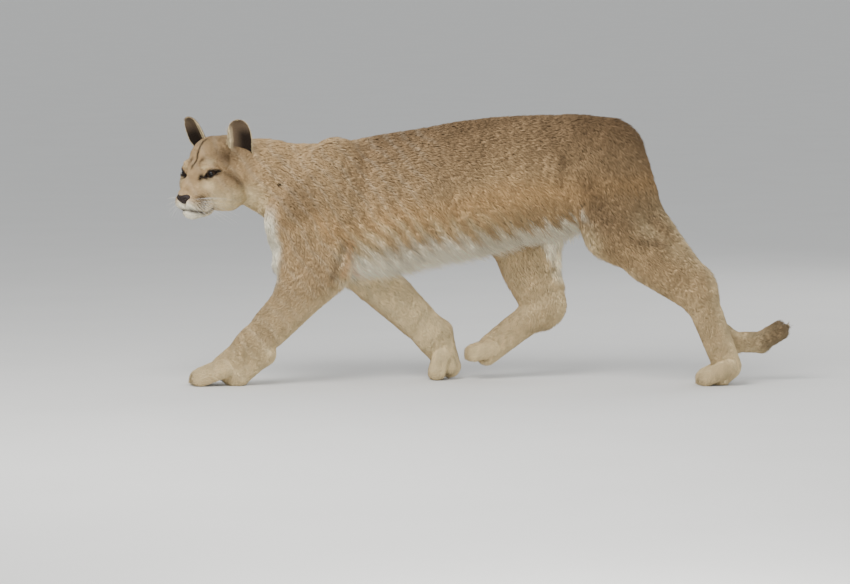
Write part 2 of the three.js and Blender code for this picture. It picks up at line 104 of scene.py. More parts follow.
# The trunk from chest to rump: place along X, top, bottom, half width.
TRUNK = np.array([
    (-325, 628, 330, 84), (-226, 648, 290, 108), (-120, 668, 294, 120),
    (-13, 684, 320, 125), (93, 703, 340, 124), (199, 715, 368, 116),
    (306, 720, 392, 106), (412, 718, 420, 100), (482, 700, 452, 90),
], float)
CHEST_CAP, RUMP_CAP = 84, 78
print("joints set for", sorted(FORE), "legs")

# %% Shapes that the field is made of
def lerp(a, b, t):
    """a where t is 0, b where it is 1, and evenly between."""
    return a + (b - a) * t


def smooth(low, high, value):
    """0 below low, 1 above high, an S curve between."""
    t = np.clip((value - low) / (high - low), 0.0, 1.0)
    return t * t * (3 - 2 * t)


def bell(value, wide):
    """1 at 0, falling off on both sides: e to the minus square of value over wide."""
    return np.exp(-((value / wide) ** 2))


def soften(a, b, k):
    """The smaller of a and b, rounded where they are within k of each other."""
    h = np.maximum(k - np.abs(a - b), 0.0) / k
    return np.minimum(a, b) - h * h * k * 0.25


class Limb:
    """A limb from a to b: the distance to the line between them, less a tapering radius,
    with Y counted as shorter or longer by flat."""

    def __init__(self, a, b, ra, rb, flat, k):
        self.a, self.b = np.array(a, float), np.array(b, float)
        self.ra, self.rb, self.flat, self.k = ra, rb, flat, k
        grown = max(ra, rb) * max(1.0, flat) + k + 25
        self.low = np.minimum(self.a, self.b) - grown
        self.high = np.maximum(self.a, self.b) + grown

    def along(self, x, y, z):
        """The share of the way from a to b, and what is left over at right angles."""
        scale = np.array([1, 1 / self.flat, 1])
        u = (self.b - self.a) * scale
        v = (x - self.a[0], (y - self.a[1]) * scale[1], z - self.a[2])
        t = np.clip((v[0] * u[0] + v[1] * u[1] + v[2] * u[2]) / (u @ u), 0, 1)
        off = np.sqrt(sum((v[n] - t * u[n]) ** 2 for n in range(3)))
        return t, off

    def distance(self, x, y, z):
        t, off = self.along(x, y, z)
        return off - lerp(self.ra, self.rb, t)


class Oval:
    """An oval of three radii. Its distance is scaled by its own slope, so that it is
    close to true near the surface. On the head the radii are ahead, left and up."""

    def __init__(self, centre, radii, k):
        self.centre, self.radii, self.k = head_point(centre), radii, k
        grown = max(radii) + k + 25
        self.low, self.high = self.centre - grown, self.centre + grown

    def distance(self, x, y, z):
        d = in_head(x - self.centre[0], y - self.centre[1], z - self.centre[2])
        near = np.sqrt(sum((d[n] / self.radii[n]) ** 2 for n in range(3)))
        slope = np.sqrt(sum((d[n] / self.radii[n] ** 2) ** 2 for n in range(3)))
        return near * (near - 1) / np.maximum(slope, 1e-6)


def head_point(p):
    """A place, or a list of places, given ahead, left and up of the eyes."""
    p = np.asarray(p, float)
    return EYES + p[..., :1] * AHEAD + p[..., 1:2] * LEFT + p[..., 2:] * UP


def in_head(dx, dy, dz):
    """A step along X, Y and Z as steps ahead, left and up."""
    return dx * AHEAD[0] + dy * AHEAD[1], dx * LEFT[0] + dy * LEFT[1], dz


def head_frame(x, y, z):
    """Ahead, left and up of the point between the eyes."""
    return in_head(x - EYES[0], y - EYES[1], z - EYES[2])


print("smallest of 3 and 4, rounded:", soften(3.0, 4.0, 2.0))

# %% [markdown]
# Muscles come next. Each leg is a short list of limbs from joint to joint, with a heel, a
# pad and four toes. Names of the joints are the ones that an animal artist would use.

# %% Muscles of the trunk and legs
def shoulder_masses(j, sign):
    return [
        Limb(j["blade"], j["shoulder"], 66, 68, 0.62, 62),
        Limb(lerp(j["blade"], j["elbow"], 0.3), j["elbow"], 66, 46, 0.62, 54),
        Limb((-354, 34 * sign, 398), (-360, 50 * sign, 330), 54, 50, 0.9, 40),
    ]


def haunch_masses(j):
    low = lerp(j["hip"], j["knee"], 0.55)
    back = j["hip"] * (1, 0.8, 1) + (40, 0, 10)
    return [
        Limb(j["hip"] - (20, 0, 0), low, 92, 92, 0.56, 80),
        Limb(back, j["seat"], 62, 66, 0.6, 62),
    ]


def toe_masses(root, toe, spread, radius):
    made = []
    for n in (-1.5, -0.5, 0.5, 1.5):
        tip = lerp(root, toe, 1 - 0.1 * abs(n))
        start = root + (0, n * spread * 0.8, 0)
        end = tip + (0, n * spread, 0)
        made.append(Limb(start, end, radius * 1.1, radius, 0.68, 4))
    return made


def fore_masses(j):
    swell = lerp(j["elbow"], j["wrist"], 0.2)
    return [
        Limb(j["shoulder"], j["elbow"], 66, 52, 0.78, 36),
        Limb(lerp(j["shoulder"], j["elbow"], 0.3), j["fold"], 50, 44, 0.8, 30),
        Limb(j["elbow"], j["wrist"], 58, 46, 0.8, 30),
        Limb(swell, lerp(j["elbow"], j["wrist"], 0.75), 60, 47, 0.82, 20),
        Limb(j["wrist"], j["knuckle"], 42, 36, 0.92, 30),
        Limb(j["wrist_pad"], lerp(j["wrist_pad"], j["wrist"], 0.5), 24, 24, 1, 18),
        Limb(j["wrist_pad"], j["pad"], 28, 29, 1.1, 16),
        Limb(j["pad"], lerp(j["pad"], j["knuckle"], 0.4), 27, 27, 1.25, 12),
        *toe_masses(j["knuckle"], j["toe"], 23, 24),
    ]


def hind_masses(j):
    return [
        Limb(lerp(j["hip"], j["knee"], 0.3), j["knee"], 96, 76, 0.6, 40),
        Limb(j["knee"], j["hock"], 80, 53, 0.68, 34),
        Limb(j["seat"], j["heel"], 54, 27, 0.62, 36),
        Limb(lerp(j["knee"], j["hock"], 0.45), j["hock"], 68, 48, 0.62, 24),
        Limb(j["heel"], j["knuckle"], 32, 30, 0.86, 20),
        Limb(j["hock"], j["knuckle"], 42, 35, 0.86, 20),
        Limb(j["pad"], lerp(j["pad"], j["knuckle"], 0.4), 27, 27, 1.15, 12),
        *toe_masses(j["knuckle"], j["toe"], 21, 23),
    ]


def tail_radius(n):
    share = n / (len(TAIL) - 1)
    return 42 if share < 0.12 else lerp(36, 27, share)


NECK_MASSES = [
    Limb(NECK[0], NECK[1], 120, 93, 0.8, 50),
    Limb(NECK[1], NECK[2], 93, 82, 0.84, 30),
    Limb((-338, 0, 460), (-356, 0, 396), 78, 60, 0.8, 36),
]
BODY_MASSES = [
    *[m for side, sign in SIDES.items() for m in shoulder_masses(FORE[side], sign)],
    *[m for side in SIDES for m in haunch_masses(HIND[side])],
    *NECK_MASSES,
]
TAIL_MASSES = [
    Limb(TAIL[n], TAIL[n + 1], tail_radius(n), tail_radius(n + 1), 1, 24 if n < 2 else 6)
    for n in range(len(TAIL) - 1)
]
print(len(BODY_MASSES), "masses on the trunk,", len(TAIL_MASSES), "on the tail")

# %% Masses of the head
def both(centre, radii, k):
    return [Oval((centre[0], s * centre[1], centre[2]), radii, k) for s in (1, -1)]


HEAD_MASSES = [
    Oval((-62, 0, 26), (72, 61, 70), 20),
    Oval((-112, 0, 10), (56, 66, 68), 30),
    *both((-4, 27, 20), (25, 22, 15), 16),
    Oval((2, 0, -2), (34, 26, 30), 16),
    Oval((30, 0, -28), (34, 19, 20), 14),
    Oval((6, 0, -56), (48, 44, 34), 20),
    *both((38, 18, -72), (27, 20, 22), 12),
    Oval((56, 0, -54), (16, 19, 16), 10),
    Oval((28, 0, -100), (24, 22, 20), 12),
    Oval((0, 0, -94), (46, 36, 24), 16),
    *both((-34, 46, -30), (46, 32, 38), 20),
    *both((-66, 46, -52), (56, 36, 50), 24),
    Oval((-96, 0, -56), (60, 54, 50), 26),
]
PARTS = {
    "head": HEAD_MASSES,
    **{f"fore_{s}": fore_masses(FORE[s]) for s in SIDES},
    **{f"hind_{s}": hind_masses(HIND[s]) for s in SIDES},
    "tail": TAIL_MASSES,
}
print("parts:", {name: len(masses) for name, masses in PARTS.items()})

# %% [markdown]
# The field is worked out at whole arrays of places at once. A mass only changes what is
# near it, so each one is added to the part of the array inside its own box. Each leg and
# the head start from the trunk's values and are then joined by the smaller value, so two
# paws that pass close by each other don't melt together.

# %% The field
def station(x):
    """Top, bottom and half width of the trunk at x, on a smooth curve through the list."""
    x = np.clip(x, TRUNK[0, 0], TRUNK[-1, 0])
    i = np.clip(np.searchsorted(TRUNK[:, 0], x, side="left") - 1, 0, len(TRUNK) - 2)
    at = lambda n: TRUNK[np.clip(n, 0, len(TRUNK) - 1)]
    p, q, r, s = at(i - 1), at(i), at(i + 1), at(i + 2)
    t = ((x - q[..., 0]) / (r[..., 0] - q[..., 0]))[..., None]
    m0, m1 = (r - p) / 2, (s - q) / 2
    curve = ((2 * t**3 - 3 * t**2 + 1) * q + (t**3 - 2 * t**2 + t) * m0
             + (3 * t**2 - 2 * t**3) * r + (t**3 - t**2) * m1)
    return curve[..., 1], curve[..., 2], curve[..., 3]


def trunk_distance(x, y, z):
    """An egg-shaped section, narrower at the spine, with rounded ends."""
    top, bottom, half = station(x)
    up = (z - (top + bottom) / 2) * 2 / (top - bottom)
    wide = half * (1 - 0.16 * up)
    beyond = np.maximum(TRUNK[0, 0] - x, 0) / CHEST_CAP
    beyond = beyond + np.maximum(x - TRUNK[-1, 0], 0) / RUMP_CAP
    return (np.sqrt((y / wide) ** 2 + up**2 + beyond**2) - 1) * half


def inside_box(mass, x, y, z):
    """The part of an array that a mass can change: slices of a grid, or a mask of points."""
    if x.ndim == 1:
        near = np.ones(x.shape, bool)
        for v, low, high in zip((x, y, z), mass.low, mass.high):
            near &= (v > low) & (v < high)
        return near, (x[near], y[near], z[near])
    cut = []
    for v, low, high in zip((x, y, z), mass.low, mass.high):
        flat = v.ravel()
        cut.append(slice(np.searchsorted(flat, low), np.searchsorted(flat, high)))
    return tuple(cut), (x[cut[0]], y[:, cut[1]], z[:, :, cut[2]])


def blended(values, masses, x, y, z):
    """The values with each mass melted in where it reaches."""
    for mass in masses:
        where, (px, py, pz) = inside_box(mass, x, y, z)
        values[where] = soften(values[where], mass.distance(px, py, pz), mass.k)
    return values


def field(x, y, z):
    """The smallest of the parts' values, each part melted into the trunk on its own."""
    body = blended(trunk_distance(x, y, z), BODY_MASSES, x, y, z)
    whole = body.copy()
    for masses in PARTS.values():
        whole = np.minimum(whole, blended(body.copy(), masses, x, y, z))
    return whole


print("distance at the middle of the belly:", field(*np.array([[90.0], [0.0], [500.0]])))

# %% [markdown]
# ## Face
# The coat is so short on the face that the skin's own folds show: the lids that drape over
# the eyeball and open in a slanted almond, the line of the lips, and the groove under the
# nose. Each one is a small change to the field, so it stays one surface with the head.

# %% Folds of the face
EYE = np.array([-6.0, 40.0, -2.0])
EYE_RADIUS = 17.0
GAZE = np.array([0.83, 0.55, 0.02])
LID_SLANT = math.radians(20)
OPENING = (17.5, 6.8, 6.2)  # half width, height above and height below the slant line
LIPS = ((-14, 10, 45, 72), (-94, -104, -98, -87))  # ahead, and height there
LID = 2.6


def eye_axes(sign):
    """The gaze, the slanted line through the lids' corners, and the way up across it."""
    gaze = GAZE * (1, sign, 1) / np.linalg.norm(GAZE)
    outward = np.cross(UP, gaze) * sign
    outward /= np.linalg.norm(outward)
    over = np.cross(gaze, outward) * sign
    corner = outward * math.cos(LID_SLANT) + over * math.sin(LID_SLANT)
    return gaze, corner, over * math.cos(LID_SLANT) - outward * math.sin(LID_SLANT)


def in_eye(f, l, u, sign):
    """Along the gaze, along the lids and across them, from the eye's centre."""
    d = (f - EYE[0], l - EYE[1] * sign, u - EYE[2])
    return [sum(d[n] * axis[n] for n in range(3)) for axis in eye_axes(sign)]


def lid_edge(along, across):
    """Below 0 inside the almond: how far across, less the almond's height there."""
    wide, above, below = OPENING
    arch = 1 - (along / wide) ** 2
    return np.where(across > 0, across - above * arch, -across - below * arch)


def face(values, x, y, z):
    """The head's field with eyeballs under lids, lips pressed in and a groove under the nose."""
    f, l, u = head_frame(x, y, z)
    for sign in (1, -1):
        gaze, along, across = in_eye(f, l, u, sign)
        out = np.sqrt(gaze**2 + along**2 + across**2)
        values = soften(values, out - EYE_RADIUS - LID, 9)
        hollow = np.maximum(lid_edge(along, across), EYE_RADIUS - 4 - out)
        hollow = np.maximum(hollow, -gaze)
        values = -soften(-values, hollow, 1.6)
    lip = np.interp(f, *LIPS)
    ends = smooth(-22, -10, f) * (1 - smooth(74, 82, f))
    values = values + 3.6 * bell(u - lip, 2.4) * ends
    values = values - 1.6 * bell(u - lip - 9, 6) * ends
    groove = bell(l, 2.2) * smooth(50, 60, f) * smooth(-92, -86, u)
    return values + 2.2 * groove * (1 - smooth(-76, -70, u))


def near_head(x, y, z):
    """How far each place is from the middle of the head."""
    centre = head_point((-20, 0, -30))
    return np.sqrt((x - centre[0]) ** 2 + (y - centre[1]) ** 2 + (z - centre[2]) ** 2)


print("lids' opening:", OPENING)

# %% [markdown]
# ## How deep the coat is
# A cougar's coat is short on the feet and face, middling on the back, and long and loose
# under the belly and chest. The skin lies this far inside the outline.

# %% Coat depth
LEG_BONES = (
    (FORE, "shoulder", "elbow", 62, 54, 0.8), (FORE, "elbow", "wrist", 58, 46, 0.8),
    (HIND, "hip", "knee", 92, 80, 0.6), (HIND, "knee", "hock", 80, 53, 0.68),
)
LEGS = [Limb(pair[s][a], pair[s][b], ra, rb, flat, 1)
        for pair, a, b, ra, rb, flat in LEG_BONES for s in SIDES]


def leg_share(x, y, z):
    """1 on the legs, from the shoulder and hip down, and 0 on the trunk."""
    nearest = np.minimum.reduce([limb.distance(x, y, z) for limb in LEGS])
    return 1 - smooth(-12, 14, nearest)


def belly_share(x, y, z):
    """1 at the underside of the trunk and chest, 0 from a third of the way up."""
    top, bottom, _ = station(x)
    low = 1 - smooth(0.04, 0.34, (z - bottom) / (top - bottom))
    low = low * smooth(-430, -350, x) * (1 - smooth(430, 500, x)) * smooth(250, 290, z)
    between = smooth(-250, -205, x) + 1 - smooth(40, 70, np.abs(y))
    return low * (1 - leg_share(x, y, z)) * np.minimum(between, 1)


def coat_depth(x, y, z):
    """The trunk's depth, turned in steps to the belly's, feet's, head's and snout's."""
    depth = lerp(5.0, 9.5, smooth(230, 340, z))
    depth = lerp(depth, 20.0, belly_share(x, y, z))
    depth = lerp(3.2, depth, smooth(40, 160, z))
    depth = lerp(4.0, depth, smooth(95, 165, near_head(x, y, z)))
    f, l, u = head_frame(x, y, z)
    snout = np.sqrt((f - 50) ** 2 + l**2 + (u + 60) ** 2)
    return lerp(1.6, depth, smooth(35, 95, snout))


def skin_value(x, y, z):
    """The outline's field, moved inwards by the coat, with the face's folds on the head."""
    values = field(x, y, z) + coat_depth(x, y, z)
    return np.where(near_head(x, y, z) < 150, face(values, x, y, z), values)


print("coat depth on the back:", coat_depth(*np.array([[90.0], [0.0], [700.0]])), "mm")

# %% [markdown]
# ## From field to skin
# A net of four-sided faces is drawn where the field changes sign: one point in each cell
# of a coarse grid that the surface crosses, then a face across each grid edge it crosses.
# The head is split finer, and all points are then slid down the field's slope onto the
# exact surface. That gives one closed skin, fine where folds need it.

# %% Net, split and settle
def surface_net(values, origin, step):
    """Points: the mean of a cell's edge crossings. Faces: round each crossed edge."""
    inside = values < 0
    size = np.array(values.shape) - 1
    count = sum(
        inside[i:size[0] + i, j:size[1] + j, k:size[2] + k].astype(np.int8)
        for i in (0, 1) for j in (0, 1) for k in (0, 1)
    )
    cells = np.argwhere((count > 0) & (count < 8))
    number = np.full(size, -1)
    number[tuple(cells.T)] = np.arange(len(cells))
    total, hits = np.zeros((len(cells), 3)), np.zeros(len(cells))
    unit = np.eye(3, dtype=int)
    for axis in range(3):
        one, two = unit[(axis + 1) % 3], unit[(axis + 2) % 3]
        for corner in (0 * one, one, two, one + two):
            a = values[tuple((cells + corner).T)]
            b = values[tuple((cells + corner + unit[axis]).T)]
            crossed = (a < 0) != (b < 0)
            t = np.where(crossed, a / np.where(crossed, a - b, 1), 0)
            total += crossed[:, None] * (corner + t[:, None] * unit[axis])
            hits += crossed
    points = origin + step * (cells + total / hits[:, None])
    faces = []
    for axis in range(3):
        one, two = unit[(axis + 1) % 3], unit[(axis + 2) % 3]
        low = np.moveaxis(inside, axis, 0)
        edge = np.moveaxis(low[:-1] != low[1:], 0, axis)
        at = np.argwhere(edge)
        at = at[(at[:, (axis + 1) % 3] > 0) & (at[:, (axis + 2) % 3] > 0)]
        quad = np.stack([number[tuple((at - c).T)] for c in (0 * one, one, one + two, two)], 1)
        flip = ~inside[tuple(at.T)]
        quad[flip] = quad[flip][:, ::-1]
        faces.append(quad)
    quads = np.concatenate(faces)
    return points, np.concatenate([quads[:, [0, 1, 2]], quads[:, [0, 2, 3]]])


def split_marked(points, faces, marked):
    """Each edge with both ends marked gets a middle point. A face with three such edges
    becomes four, and one with a single such edge becomes two."""
    edges = np.sort(np.stack([faces, np.roll(faces, -1, 1)], 2), 2)
    on = marked[edges].all(2)
    key = edges[..., 0] * len(points) + edges[..., 1]
    unique, back = np.unique(key[on], return_inverse=True)
    middle = np.full(on.shape, -1)
    middle[on] = len(points) + back
    new = (points[unique // len(points)] + points[unique % len(points)]) / 2
    whole, part = on.all(1), on.sum(1) == 1
    (a, b, c), (ab, bc, ca) = faces[whole].T, middle[whole].T
    made = [faces[~whole & ~part]]
    made += [np.stack(f, 1) for f in ((a, ab, ca), (ab, b, bc), (ca, bc, c), (ab, bc, ca))]
    turn = on[part].argmax(1)
    rows = np.arange(len(turn))
    p, q, r = (faces[part][rows, (turn + n) % 3] for n in range(3))
    m = middle[part][rows, turn]
    made += [np.stack([p, m, r], 1), np.stack([m, q, r], 1)]
    return np.concatenate([points, new]), np.concatenate(made)


def slope(fun, p, h=0.7):
    """The field's gradient, from differences on both sides of each point."""
    steps = h * np.eye(3)
    return np.stack([(fun(*(p + s).T) - fun(*(p - s).T)) / (2 * h) for s in steps], 1)


def settled(p, fun, rounds, longest=5.0):
    """Points slid down the gradient until the field is 0 there."""
    for _ in range(rounds):
        g = slope(fun, p)
        move = (fun(*p.T) / np.maximum((g * g).sum(1), 0.05))[:, None] * g
        length = np.linalg.norm(move, axis=1, keepdims=True)
        p = p - move * np.minimum(1, longest / np.maximum(length, 1e-9))
    return p


print("slope on the back:", slope(field, np.array([[90.0, 0, 703]])).round(2))

# %% Draw the skin
STEP = 6.0  # the grid's cell
axes = [np.arange(low, high, STEP) for low, high in ((-730, 990), (-190, 190), (-12, 750))]
grid = np.ix_(*axes)
net = surface_net(skin_value(*grid), np.array([a[0] for a in axes]), STEP)
points, faces = net
points = settled(points, skin_value, 2)
for reach in (122, 80):
    points, faces = split_marked(points, faces, near_head(*points.T) < reach)
    points = settled(points, skin_value, 2)
normals = slope(skin_value, points)
normals /= np.linalg.norm(normals, axis=1, keepdims=True)
points[:, 2] = np.maximum(points[:, 2], 0.4)
print("skin:", len(points), "points,", len(faces), "triangles")

# %% [markdown]
# ## Markings
# A cougar is plain: grey-brown along the back, warmer down the flank, cream below, and paler
# inside the legs. Only the face has marks: white muzzle and chin, black lips and lids, and a dark
# tear below the eye. Shade is painted in as well: a dark line down the middle of the brow, lines
# in the coat's folds on the near side and lines between the toes. Colours are functions of place,
# so skin and tufts take the same ones.

# %% Colours by place
def colour(red, green, blue):
    """A screen colour, 0 to 255, as the linear light that shaders use."""
    c = np.array([red, green, blue]) / 255
    return np.where(c <= 0.04045, c / 12.92, ((c + 0.055) / 1.055) ** 2.4)


TAN = colour(182, 153, 113)
GREY = colour(148, 122, 90)
BUFF = colour(202, 162, 110)
CREAM = colour(240, 220, 174)
WHITE = colour(250, 243, 220)
DARK = colour(36, 27, 22)
UMBER = colour(102, 81, 58)

# Painted shade in the folds of the coat, on the near side only: a line, its width, its colour and
# how strong it is. The armpit's line is a warm stripe beside the elbow's painted shade.
def fold(start, end):
    """A line across the near flank, between two places along and up."""
    return Limb((start[0], -110, start[1]), (end[0], -110, end[1]), 0, 0, 60, 1)


ELBOW, ARMPIT = fold((-224, 392), (-246, 300)), fold((-206, 396), (-222, 312))
FLANK, FLANK_LOW = fold((320, 660), (352, 600)), fold((352, 600), (345, 545))
HAUNCH, KNEE = fold((425, 545), (468, 455)), fold((545, 395), (618, 382))
FOLD_SHADING = [
    (ARMPIT, 9, colour(196, 150, 104), 0.7), (ELBOW, 9, UMBER * 0.7, 0.6),
    (FLANK, 20, UMBER * 0.8, 0.5), (FLANK_LOW, 18, UMBER * 0.8, 0.45),
    (HAUNCH, 26, UMBER, 0.4), (KNEE, 9, UMBER * 0.8, 0.5),
]


def tint(base, target, share):
    """The base colours turned towards a target by a share at each place."""
    return base + (target - base) * np.clip(share, 0, 1)[:, None]


def tinted(made, marks):
    """Marks laid one over another, each a colour and its share at each place."""
    for mark_colour, share in marks:
        made = tint(made, mark_colour, share)
    return made


def spot(f, l, u, centre, radii):
    """1 at a place on either side of the face, falling off as a bell."""
    d = ((f - centre[0]) / radii[0]) ** 2 + ((u - centre[2]) / radii[2]) ** 2
    return np.exp(-d - ((np.abs(l) - centre[1]) / radii[1]) ** 2)


def waves(p, size, turn=0.0):
    """A slow, irregular wave through space, from -1 to 1: sines along skewed lines."""
    q = p / size
    return (np.sin(q @ (1.3, 0.7, -0.9) + turn) + np.sin(q @ (-0.6, 1.1, 1.4) + 2.1 * turn)
            + np.sin(q @ (0.8, -1.5, 0.5) + 3.7 + turn)) / 3


print("tan:", TAN.round(3), "cream:", CREAM.round(3))

# %% [markdown]
# The body's marks are laid one over another: the back, the flank, the belly, the insides and backs
# of the legs, then the tail's end and painted shade in the gaps between the toes, and last a small
# dark scab and painted shade in the coat's folds on the near side. Each has a colour and a share,
# from 0 to 1, that says how strongly it shows at each place.

# %% Colours of the body
TOE_GAP = 22


def toe_gap_shade(x, y, z, j):
    """Painted shade: 1 in the three creases between the toes, near the front of a paw."""
    near = np.sqrt((x - j["toe"][0]) ** 2 + (z - j["toe"][2]) ** 2)
    place = (y - j["toe"][1]) / TOE_GAP
    gap = np.abs(place - np.round(place)) * TOE_GAP
    return bell(gap, 2.4) * (np.abs(place) < 1.4) * (1 - smooth(38, 60, near))


def body_colour(p, n):
    """Colours by the height on the trunk, the place along it and the way the skin faces."""
    x, y, z = p.T
    top, bottom, _ = station(x)
    up = (z - bottom) / (top - bottom) + 0.05 * waves(p, 45)
    trunk = 1 - leg_share(x, y, z)
    aft = smooth(-60, 240, x)
    streak = np.sin((1.2 * x + z) / 9 + 2.2 * waves(p, 70) + 1.2 * waves(p, 26, 2.0))
    flank = trunk * (1 - smooth(180, 300, x)) * smooth(-230, -190, x)
    pale = smooth(lerp(0.0, 0.4, aft), 0.8, belly_share(x, y, z) + 0.15 * streak)
    shade = bell(up - 0.42, 0.14) * smooth(0.2, 0.9, -streak) * (1 - smooth(-120, 60, x))
    inner = smooth(0.1, 0.8, -n[:, 1] * np.sign(y)) * (1 - smooth(330, 420, z))
    rear = smooth(0.1, 0.8, n[:, 0]) * (1 - smooth(380, 560, z))
    thigh_edge = smooth(0.2, 0.8, -n[:, 0]) * smooth(340, 400, x) * smooth(180, 300, z)
    breast = (1 - smooth(-400, -372, x)) * (1 - smooth(410, 500, z)) * smooth(250, 300, z)
    throat = (1 - smooth(-0.7, 0.0, n[:, 2])) * (1 - smooth(-420, -370, x)) * smooth(380, 430, z)
    made = tinted(np.tile(TAN, (len(p), 1)), [
        (GREY, smooth(0.4, 0.9, up) * smooth(-300, -120, x)),
        (UMBER, 0.6 * smooth(0.82, 1.0, up) * smooth(-220, -60, x)),
        (BUFF, 0.6 * bell(up - 0.38, 0.12) * trunk),
        (UMBER, 0.55 * smooth(320, 430, x) * smooth(330, 450, z)),
        (UMBER, 0.45 * bell(x + 345, 55) * bell(z - 505, 60)),
        (CREAM, 0.8 * bell(x + 165, 55) * bell(z - 335, 50) * trunk),
        (WHITE, 0.95 * pale),
        (CREAM, 0.2 * bell(up - lerp(0.3, 0.2, aft), 0.09) * (1 + streak) * flank),
        (UMBER, 0.32 * shade * flank),
        (CREAM, (0.6 - 0.35 * smooth(100, 250, x)) * inner),
        (CREAM, 0.5 * (1 - smooth(20, 150, z))),
        (CREAM, 0.25 * (1 - smooth(150, 340, z))),
        (CREAM, 0.45 * rear),
        (CREAM, 0.4 * thigh_edge * (1 - smooth(390, 470, z))),
        (WHITE, 1.3 * breast * smooth(0.4, 0.8, -n[:, 0])),
        (CREAM, 0.6 * throat),
        (UMBER * 0.7, 0.7 * smooth(820, 930, x)),
        # Painted shade in the gaps between the toes.
        *[(UMBER, 0.75 * toe_gap_shade(x, y, z, j)) for pair in (FORE, HIND) for j in pair.values()],
    ])
    made = made * (1 + 0.09 * waves(p, 17) + 0.05 * waves(p, 42, 3.0))[:, None]
    near_side = y < 0
    scab = ((x + 393) ** 2 + (z - 536) ** 2 < 36) * near_side
    # Last, a small dark scab, and the painted shade in the coat's folds on the near side.
    return tinted(made, [(DARK, scab)] + [
        (mark_colour, share * bell(line.distance(x, y, z), wide) * near_side)
        for line, wide, mark_colour, share in FOLD_SHADING
    ])


print("back:", body_colour(np.array([[90.0, 0, 700]]), np.array([[0, 0, 1.0]])).round(3))

# %% [markdown]
# The face's marks are soft spots in the head's own frame, the same on both sides. Those
# that follow an edge, such as the lids' and lips', are bells of the distance from it.

# %% Marks of the face
def pad_spots(f, u):
    """Spots in rows on the whisker pad, where each whisker grows."""
    rows = np.cos((u + 0.25 * f) * 0.85)
    return smooth(0.05, 0.45, rows * np.cos(f * 0.8 + 0.6 * np.floor(u / 7)))


def face_colour(p, made):
    """Marks in the head's frame, from the forehead to the whisker pad, lips and lids."""
    f, l, u = head_frame(*p.T)

    def at(*where):
        return spot(f, l, u, *where)

    # Painted shade along the crease down the middle of the brow.
    brow_shade = bell(l, 3.2) * smooth(2, 16, u) * (1 - smooth(76, 98, u)) * smooth(-120, -100, f)
    cheek = bell(u - 0.57 * (f + 20) - 1, 10) * smooth(-100, -60, f) * (1 - smooth(-26, -12, f))
    lip = bell(u - np.interp(f, *LIPS), 4.2) * smooth(-26, -14, f) * (f < 80)
    philtrum = bell(l, 2.6) * smooth(50, 58, f) * smooth(-94, -88, u) * (1 - smooth(-74, -68, u))
    made = tinted(made, [
        (UMBER, 0.22 * smooth(10, 60, u) * (1 - smooth(-20, 20, f))),
        (CREAM, 0.6 * at((14, 42, -32), (24, 20, 13))),
        (CREAM, 0.3 * at((6, 30, 22), (12, 10, 7))),
        (CREAM, 1.1 * at((-20, 52, -84), (50, 34, 22))),
        (CREAM, 1.0 * at((-70, 66, -66), (46, 40, 26))),
        (CREAM, 1.0 * at((-152, 66, 34), (15, 22, 30))),
        (WHITE, 1.3 * at((52, 14, -86), (22, 18, 15))),
        (WHITE, 1.4 * at((34, 0, -112), (44, 40, 18))),
        (TAN * 0.8, 0.9 * at((32, 36, -72), (18, 16, 16))),
        (UMBER, 0.8 * at((36, 34, -62), (18, 14, 7))),
        (DARK, 1.8 * at((28, 36, -76), (26, 20, 18)) * pad_spots(f, u)),
        (DARK, 0.9 * brow_shade),
        (CREAM, 0.5 * at((2, 42, 30), (13, 11, 9))),
        (UMBER, 1.0 * at((12, 17, 31), (10, 6, 12))),
        (UMBER, 0.85 * at((-38, 52, 42), (34, 24, 20))),
        (UMBER, 0.62 * cheek * (np.abs(l) > 30)),
        (DARK, 1.2 * at((17, 23, -8), (6, 6, 5))),
        (DARK, 1.2 * at((20, 18, -15), (5, 5, 6))),
        (DARK, 0.95 * lip),
        (DARK, 0.8 * philtrum),
    ])
    for sign in (1, -1):
        gaze, along, across = in_eye(f, l, u, sign)
        over = np.where(across > 0, 2.4, 1.6)
        rim = 1 - smooth(over, over + 3, lid_edge(along, across))
        rim = rim * (np.abs(along) < 26) * (gaze > 0)
        tear = bell(across + 5 + 0.5 * (along + 15), 6.5)
        tear = tear * smooth(-36, -29, along) * (1 - smooth(-15, -4, along)) * (gaze > -8)
        made = tint(made, DARK, np.maximum(rim, tear))
    return made


def markings(p, n):
    """The body's colours, turned into the face's near the head."""
    made = body_colour(p, n)
    return tint(made, face_colour(p, made), 1 - smooth(125, 165, near_head(*p.T)))


chin = np.array([head_point((34, 0, -118))])
print("chin:", markings(chin, np.array([[0, 0, -1.0]])).round(3))

# %% [markdown]
# ## Shader helper
# Node trees are easier to read as sums. A small class wraps a socket, so that adding or
# multiplying two of them adds a Math node, and one method makes any other node.

# %% Sockets as numbers
class Value:
    """A shader socket that takes part in Python arithmetic."""

    def __init__(self, socket):
        self.socket = socket

    def maths(self, operation, first, second):
        node = self.socket.id_data.nodes.new("ShaderNodeMath")
        node.operation = operation
        for slot, value in zip(node.inputs, (first, second)):
            fill(slot, value)
        return Value(node.outputs[0])

    def __add__(self, other):
        return self.maths("ADD", self, other)

    def __mul__(self, other):
        return self.maths("MULTIPLY", self, other)

    __radd__ = __add__
    __rmul__ = __mul__


def fill(slot, value):
    """A link if the value is a socket, else a plain number or colour."""
    if isinstance(value, Value):
        slot.id_data.links.new(value.socket, slot)
    else:
        slot.default_value = value


